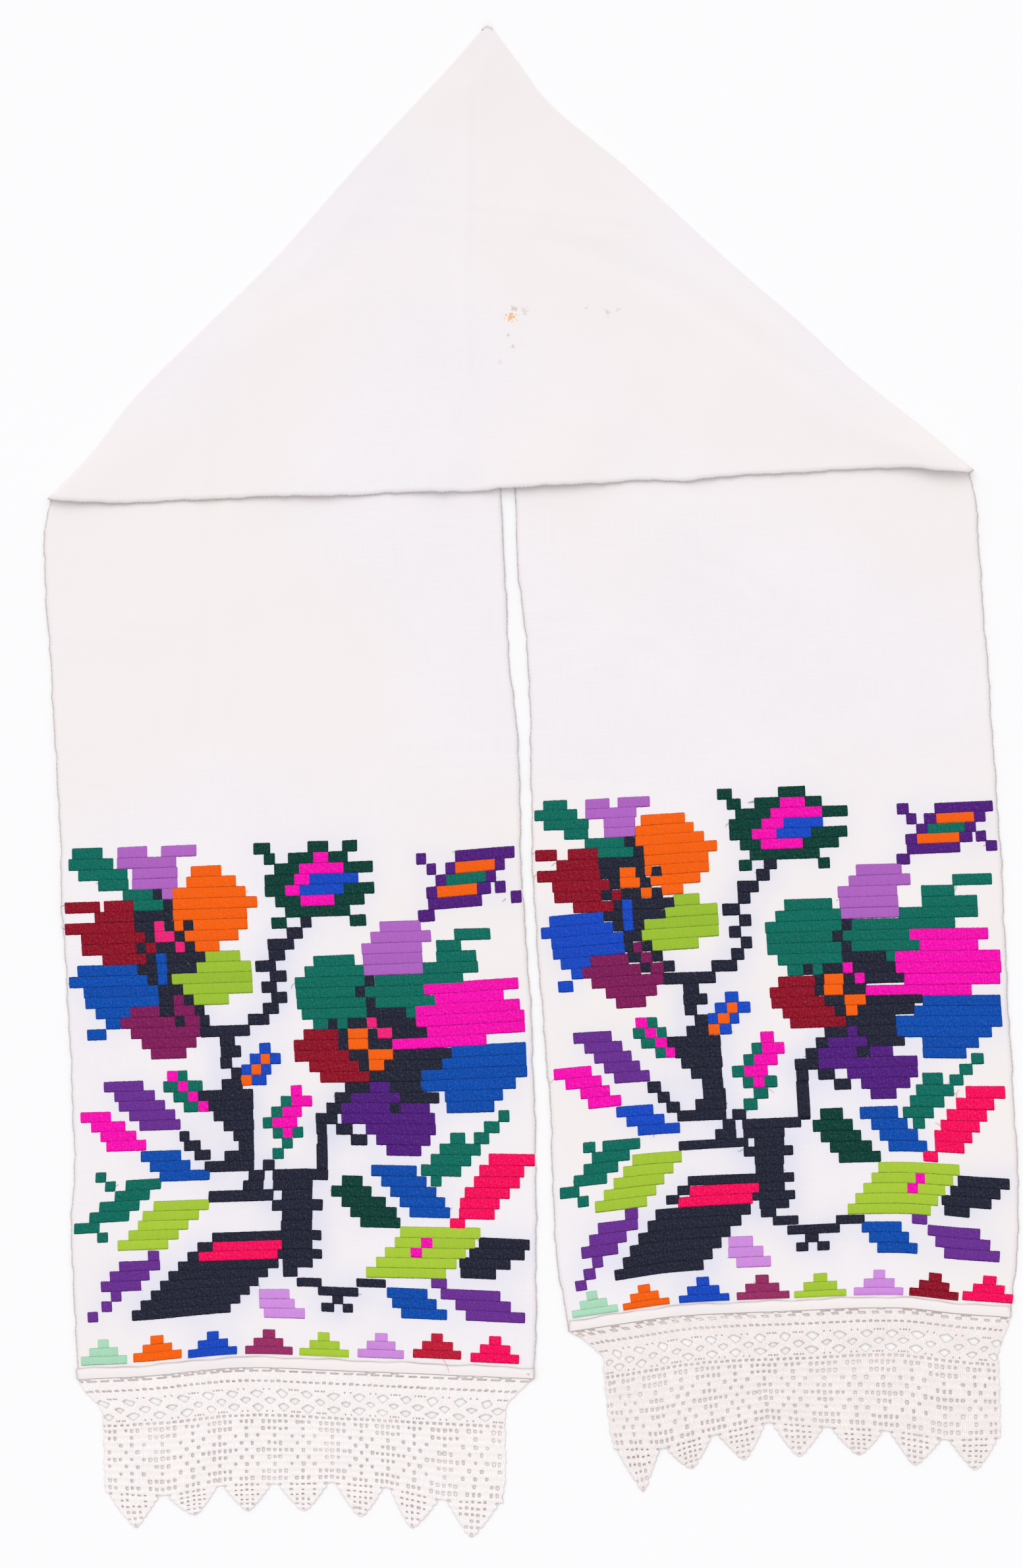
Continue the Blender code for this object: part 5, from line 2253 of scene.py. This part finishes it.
    def solid(self, x: Floats, t: Floats) -> Floats:
        """How far a place lies inside the worked thread, negative in a hole.

        Args:
            x: places across, in columns.
            t: places down, in millimetres.

        Returns:
            The distances, in millimetres.
        """
        rows = HOLDING_ROWS[self.seam] + MESH_ROWS
        parts = [self.meshes(x, t, row) for row in rows]
        parts += [self.diamonds(x, t, row) for row in DIAMOND_ROWS]
        parts += [self.fans(x, t, row) for row in FAN_ROWS]
        parts.append(self.ground(x, t))
        from_sides = np.minimum(x, self.columns - x) * self.column
        holes = np.maximum(np.minimum.reduce(parts), self.side_chain - from_sides)
        return np.minimum(holes, self.outline(x, t))

    def place(self, x: Floats, t: Floats) -> tuple[Floats, Floats]:
        """Bring places of the flat layout to the hem.

        Args:
            x: places across, in columns from the outer side.
            t: places down, in millimetres.

        Returns:
            The X and Y of each place.
        """
        points = self.plan.lace_points
        tips = [point.place for point in points]
        bounds = [0.0] + [(a + b) / 2 for a, b in zip(tips, tips[1:])] + [1.0]
        notches = [point.notch for point in points] + [self.plan.last_notch]
        stops, shares = [], []
        for number, tip in enumerate(tips):
            stops += [number * self.columns_per_point, (number + 0.5) * self.columns_per_point]
            shares += [bounds[number], tip]
        along = np.interp(x, stops + [len(tips) * self.columns_per_point], shares + [1.0])
        notch = np.interp(along, bounds, notches)
        tip = np.interp(along, tips, [point.tip for point in points])
        ground = self.trellis_depth
        share = (t - ground) / (self.notch_depth - ground)
        point_share = (t - self.notch_depth) / (self.tip_depth - self.notch_depth)
        depth = np.where(t < ground, t, ground + (notch - ground) * share)
        depth = np.where(t > self.notch_depth, notch + (tip - notch) * point_share, depth)
        place_x, place_y = self.plan.lace_spot(along, depth)
        nearness = np.exp(-np.minimum(along, 1.0 - along) * self.side_reach)
        nearness *= smooth(t / self.side_start)
        waves = strayed(SIDE_WAVES, t, (self.seed, 0.0, 2.0 * self.seed))
        return place_x + self.stray * nearness * waves, place_y

    def build(self, finish: CrochetFinish) -> bpy.types.Object:
        """Make and dress the lace.

        Args:
            finish: its finish.

        Returns:
            The lace.
        """
        total = self.columns
        across = np.linspace(0.0, total, total * self.steps_per_column + 1)
        down = np.linspace(-0.2, self.tip_depth, round(self.tip_depth / self.depth_step) + 1)
        x, t = (block.copy() for block in np.meshgrid(across, down))
        middle_x = (x[:-1, :-1] + x[1:, 1:]) / 2
        middle_t = (t[:-1, :-1] + t[1:, 1:]) / 2
        keep = self.solid(middle_x, middle_t) > 0.0
        x, t, rim = self.drawn_to_rims(x, t, keep)

        place_x, place_y = self.place(x, t)
        z = self.rest + slow_waves(random.Random(self.seed), place_x, place_y, self.ripples,
                                   self.ripple_lengths, self.ripple)
        below = t - self.ground_top
        z += self.chain * np.cos(below * math.tau / self.ground_row) * (below > -self.chain_start)
        draft = MeshDraft()
        # The rims of holes get 0, which the finish paints with full shade; the outer edge gets a paler
        # painted shade.
        from_edge = np.minimum(np.minimum(x, total - x) * self.column, self.outline(x, t))
        rim_shade = np.where(from_edge < self.edge_width, self.edge_shade, 0.0)
        draft.add_grid(np.stack([place_x, place_y, z], axis=-1), np.stack([x, t], axis=-1),
                       np.where(rim, rim_shade, 1.0), keep=keep)
        lace = draft.piece(f"crochet_{self.plan.name}", self.layout, "stitches")
        thin = lace.vertex_groups.new(name="thin")
        for index, entry in enumerate(lace.data.attributes["shade"].data):
            thin.add([index], self.rim_share if entry.value < 0.5 else 1.0, "REPLACE")
        grow_thick(lace, self.thickness, "thin")
        lace.data.materials.append(finish.make())
        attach(lace, "root")
        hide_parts(f"lace_{self.plan.name}")
        return lace

    def drawn_to_rims(self, x: Floats, t: Floats, keep: Floats) -> tuple[Floats, Floats, Floats]:
        """Draw the points next to a hole on to its rim, so that holes are round and not stepped.

        Args:
            x: the grid's places across, in columns.
            t: its places down, in millimetres.
            keep: which quads are worked.

        Returns:
            The places moved, and which of them lie on a rim.
        """
        padded = np.zeros((keep.shape[0] + 2, keep.shape[1] + 2), dtype=int)
        padded[1:-1, 1:-1] = keep
        around = padded[:-1, :-1] + padded[:-1, 1:] + padded[1:, :-1] + padded[1:, 1:]
        rim = (around > 0) & (around < 4)
        inside = np.zeros_like(rim)
        inside[1:-1, 1:-1] = True
        moved = rim & (inside | (t > self.points_start))
        for _ in range(self.rim_rounds):
            here = self.solid(x, t)
            slope_x = (self.solid(x + self.rim_nudge / self.column, t) - here) / self.rim_nudge
            slope_t = (self.solid(x, t + self.rim_nudge) - here) / self.rim_nudge
            steep = np.maximum(slope_x ** 2 + slope_t ** 2, self.rim_slope)
            step = np.where(moved, np.clip(here, -self.rim_search, self.rim_search) / steep, 0.0)
            x = x - np.clip(step * slope_x, -self.rim_step, self.rim_step) / self.column
            t = t - np.clip(step * slope_t, -self.rim_step, self.rim_step)
        return x, t, rim


@dataclass
class Studio:
    """A white sheet to lie on, soft light from the top of the cloth, and the camera above it."""

    floor_size: float = 9.0
    camera_height: float = 2.6
    view_height: float = 1.2957
    off_x: float = -0.01405
    off_y: float = -0.0024
    roll: float = math.radians(-1.757)
    sky: float = 0.78
    sky_colour: Tone = (0.985, 0.985, 1.0, 1.0)
    key_colour: Triple = (1.0, 0.985, 0.97)
    key_strength: float = 0.97
    key_spread: float = math.radians(60.0)
    key_place: Triple = (-0.5, 2.1, 3.3)

    def build(self) -> None:
        """Make the floor, the light and the camera."""
        self.lay_floor()
        self.light()
        self.aim_camera()

    def lay_floor(self) -> None:
        """Lay the sheet that the cloth lies on."""
        bpy.ops.mesh.primitive_plane_add(size=self.floor_size)
        floor = bpy.context.object
        floor.name = "studio_sheet"
        floor.data.materials.append(FloorFinish().make())
        floor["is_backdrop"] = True

    def light(self) -> None:
        """Set a bright even sky and one wide soft light."""
        world = bpy.data.worlds.new("studio_sky")
        world.use_nodes = True
        sky = world.node_tree.nodes["Background"]
        sky.inputs["Color"].default_value = self.sky_colour
        sky.inputs["Strength"].default_value = self.sky
        bpy.context.scene.world = world
        lamp = bpy.data.lights.new("key_lamp", "SUN")
        lamp.energy = self.key_strength
        lamp.angle = self.key_spread
        lamp.color = self.key_colour
        holder = bpy.data.objects.new("key_lamp", lamp)
        holder.location = self.key_place
        holder.rotation_euler = (-Vector(self.key_place)).to_track_quat("-Z", "Y").to_euler()
        bpy.context.scene.collection.objects.link(holder)

    def aim_camera(self) -> None:
        """Hang the camera straight above the cloth, turned a little."""
        low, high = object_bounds()
        data = bpy.data.cameras.new("camera")
        data.sensor_fit = "VERTICAL"
        data.sensor_height = data.sensor_width
        data.lens = data.sensor_height * self.camera_height / self.view_height
        camera = bpy.data.objects.new("camera", data)
        middle = (low + high) / 2
        camera.location = (middle.x + self.off_x, middle.y + self.off_y, self.camera_height)
        camera.rotation_euler = (0.0, 0.0, self.roll)
        bpy.context.scene.collection.objects.link(camera)
        bpy.context.scene.camera = camera
        bpy.context.scene.view_settings.view_transform = "Standard"


def report(piece: bpy.types.Object) -> bpy.types.Object:
    """Log a finished piece and hand it on."""
    log.info("%s: %d faces", piece.name, len(piece.data.polygons))
    return piece


def main() -> None:
    """Build the rushnyk and its studio."""
    homespun = Homespun()
    points = homespun.rulings()
    layout = Layout.over_cad(points)
    Studio().build()

    works = [Needlework(plan, chart, layout, seed=31 + number)
             for number, (plan, chart) in enumerate(zip(ARMS, (LEFT_CHART, RIGHT_CHART)))]
    cloth = report(homespun.build(homespun.with_selvedges(points), layout, works, HomespunFinish()))

    finishes = {thread: ThreadFinish(thread).make() for thread in Thread}
    worked = [report(work.build(kind, finishes)) for work in works for kind in Kind]
    for number, (work, ends) in enumerate(zip(works, (LEFT_LOOSE_ENDS, RIGHT_LOOSE_ENDS))):
        worked.append(report(Frays(work, ends, seed=51 + number).build(finishes)))

    edgings = zip(ARMS, (Seam.LONG_LOOPS, Seam.ARCHES), (WHITE_CROCHET, CREAM_CROCHET))
    for number, (plan, seam, finish) in enumerate(edgings):
        lace = CrochetEdging(plan, layout, seam, seed=71 + number)
        worked.append(report(lace.build(finish)))


if __name__ == "__main__":
    logging.basicConfig(level=logging.INFO, format="%(name)s: %(message)s")
    main()
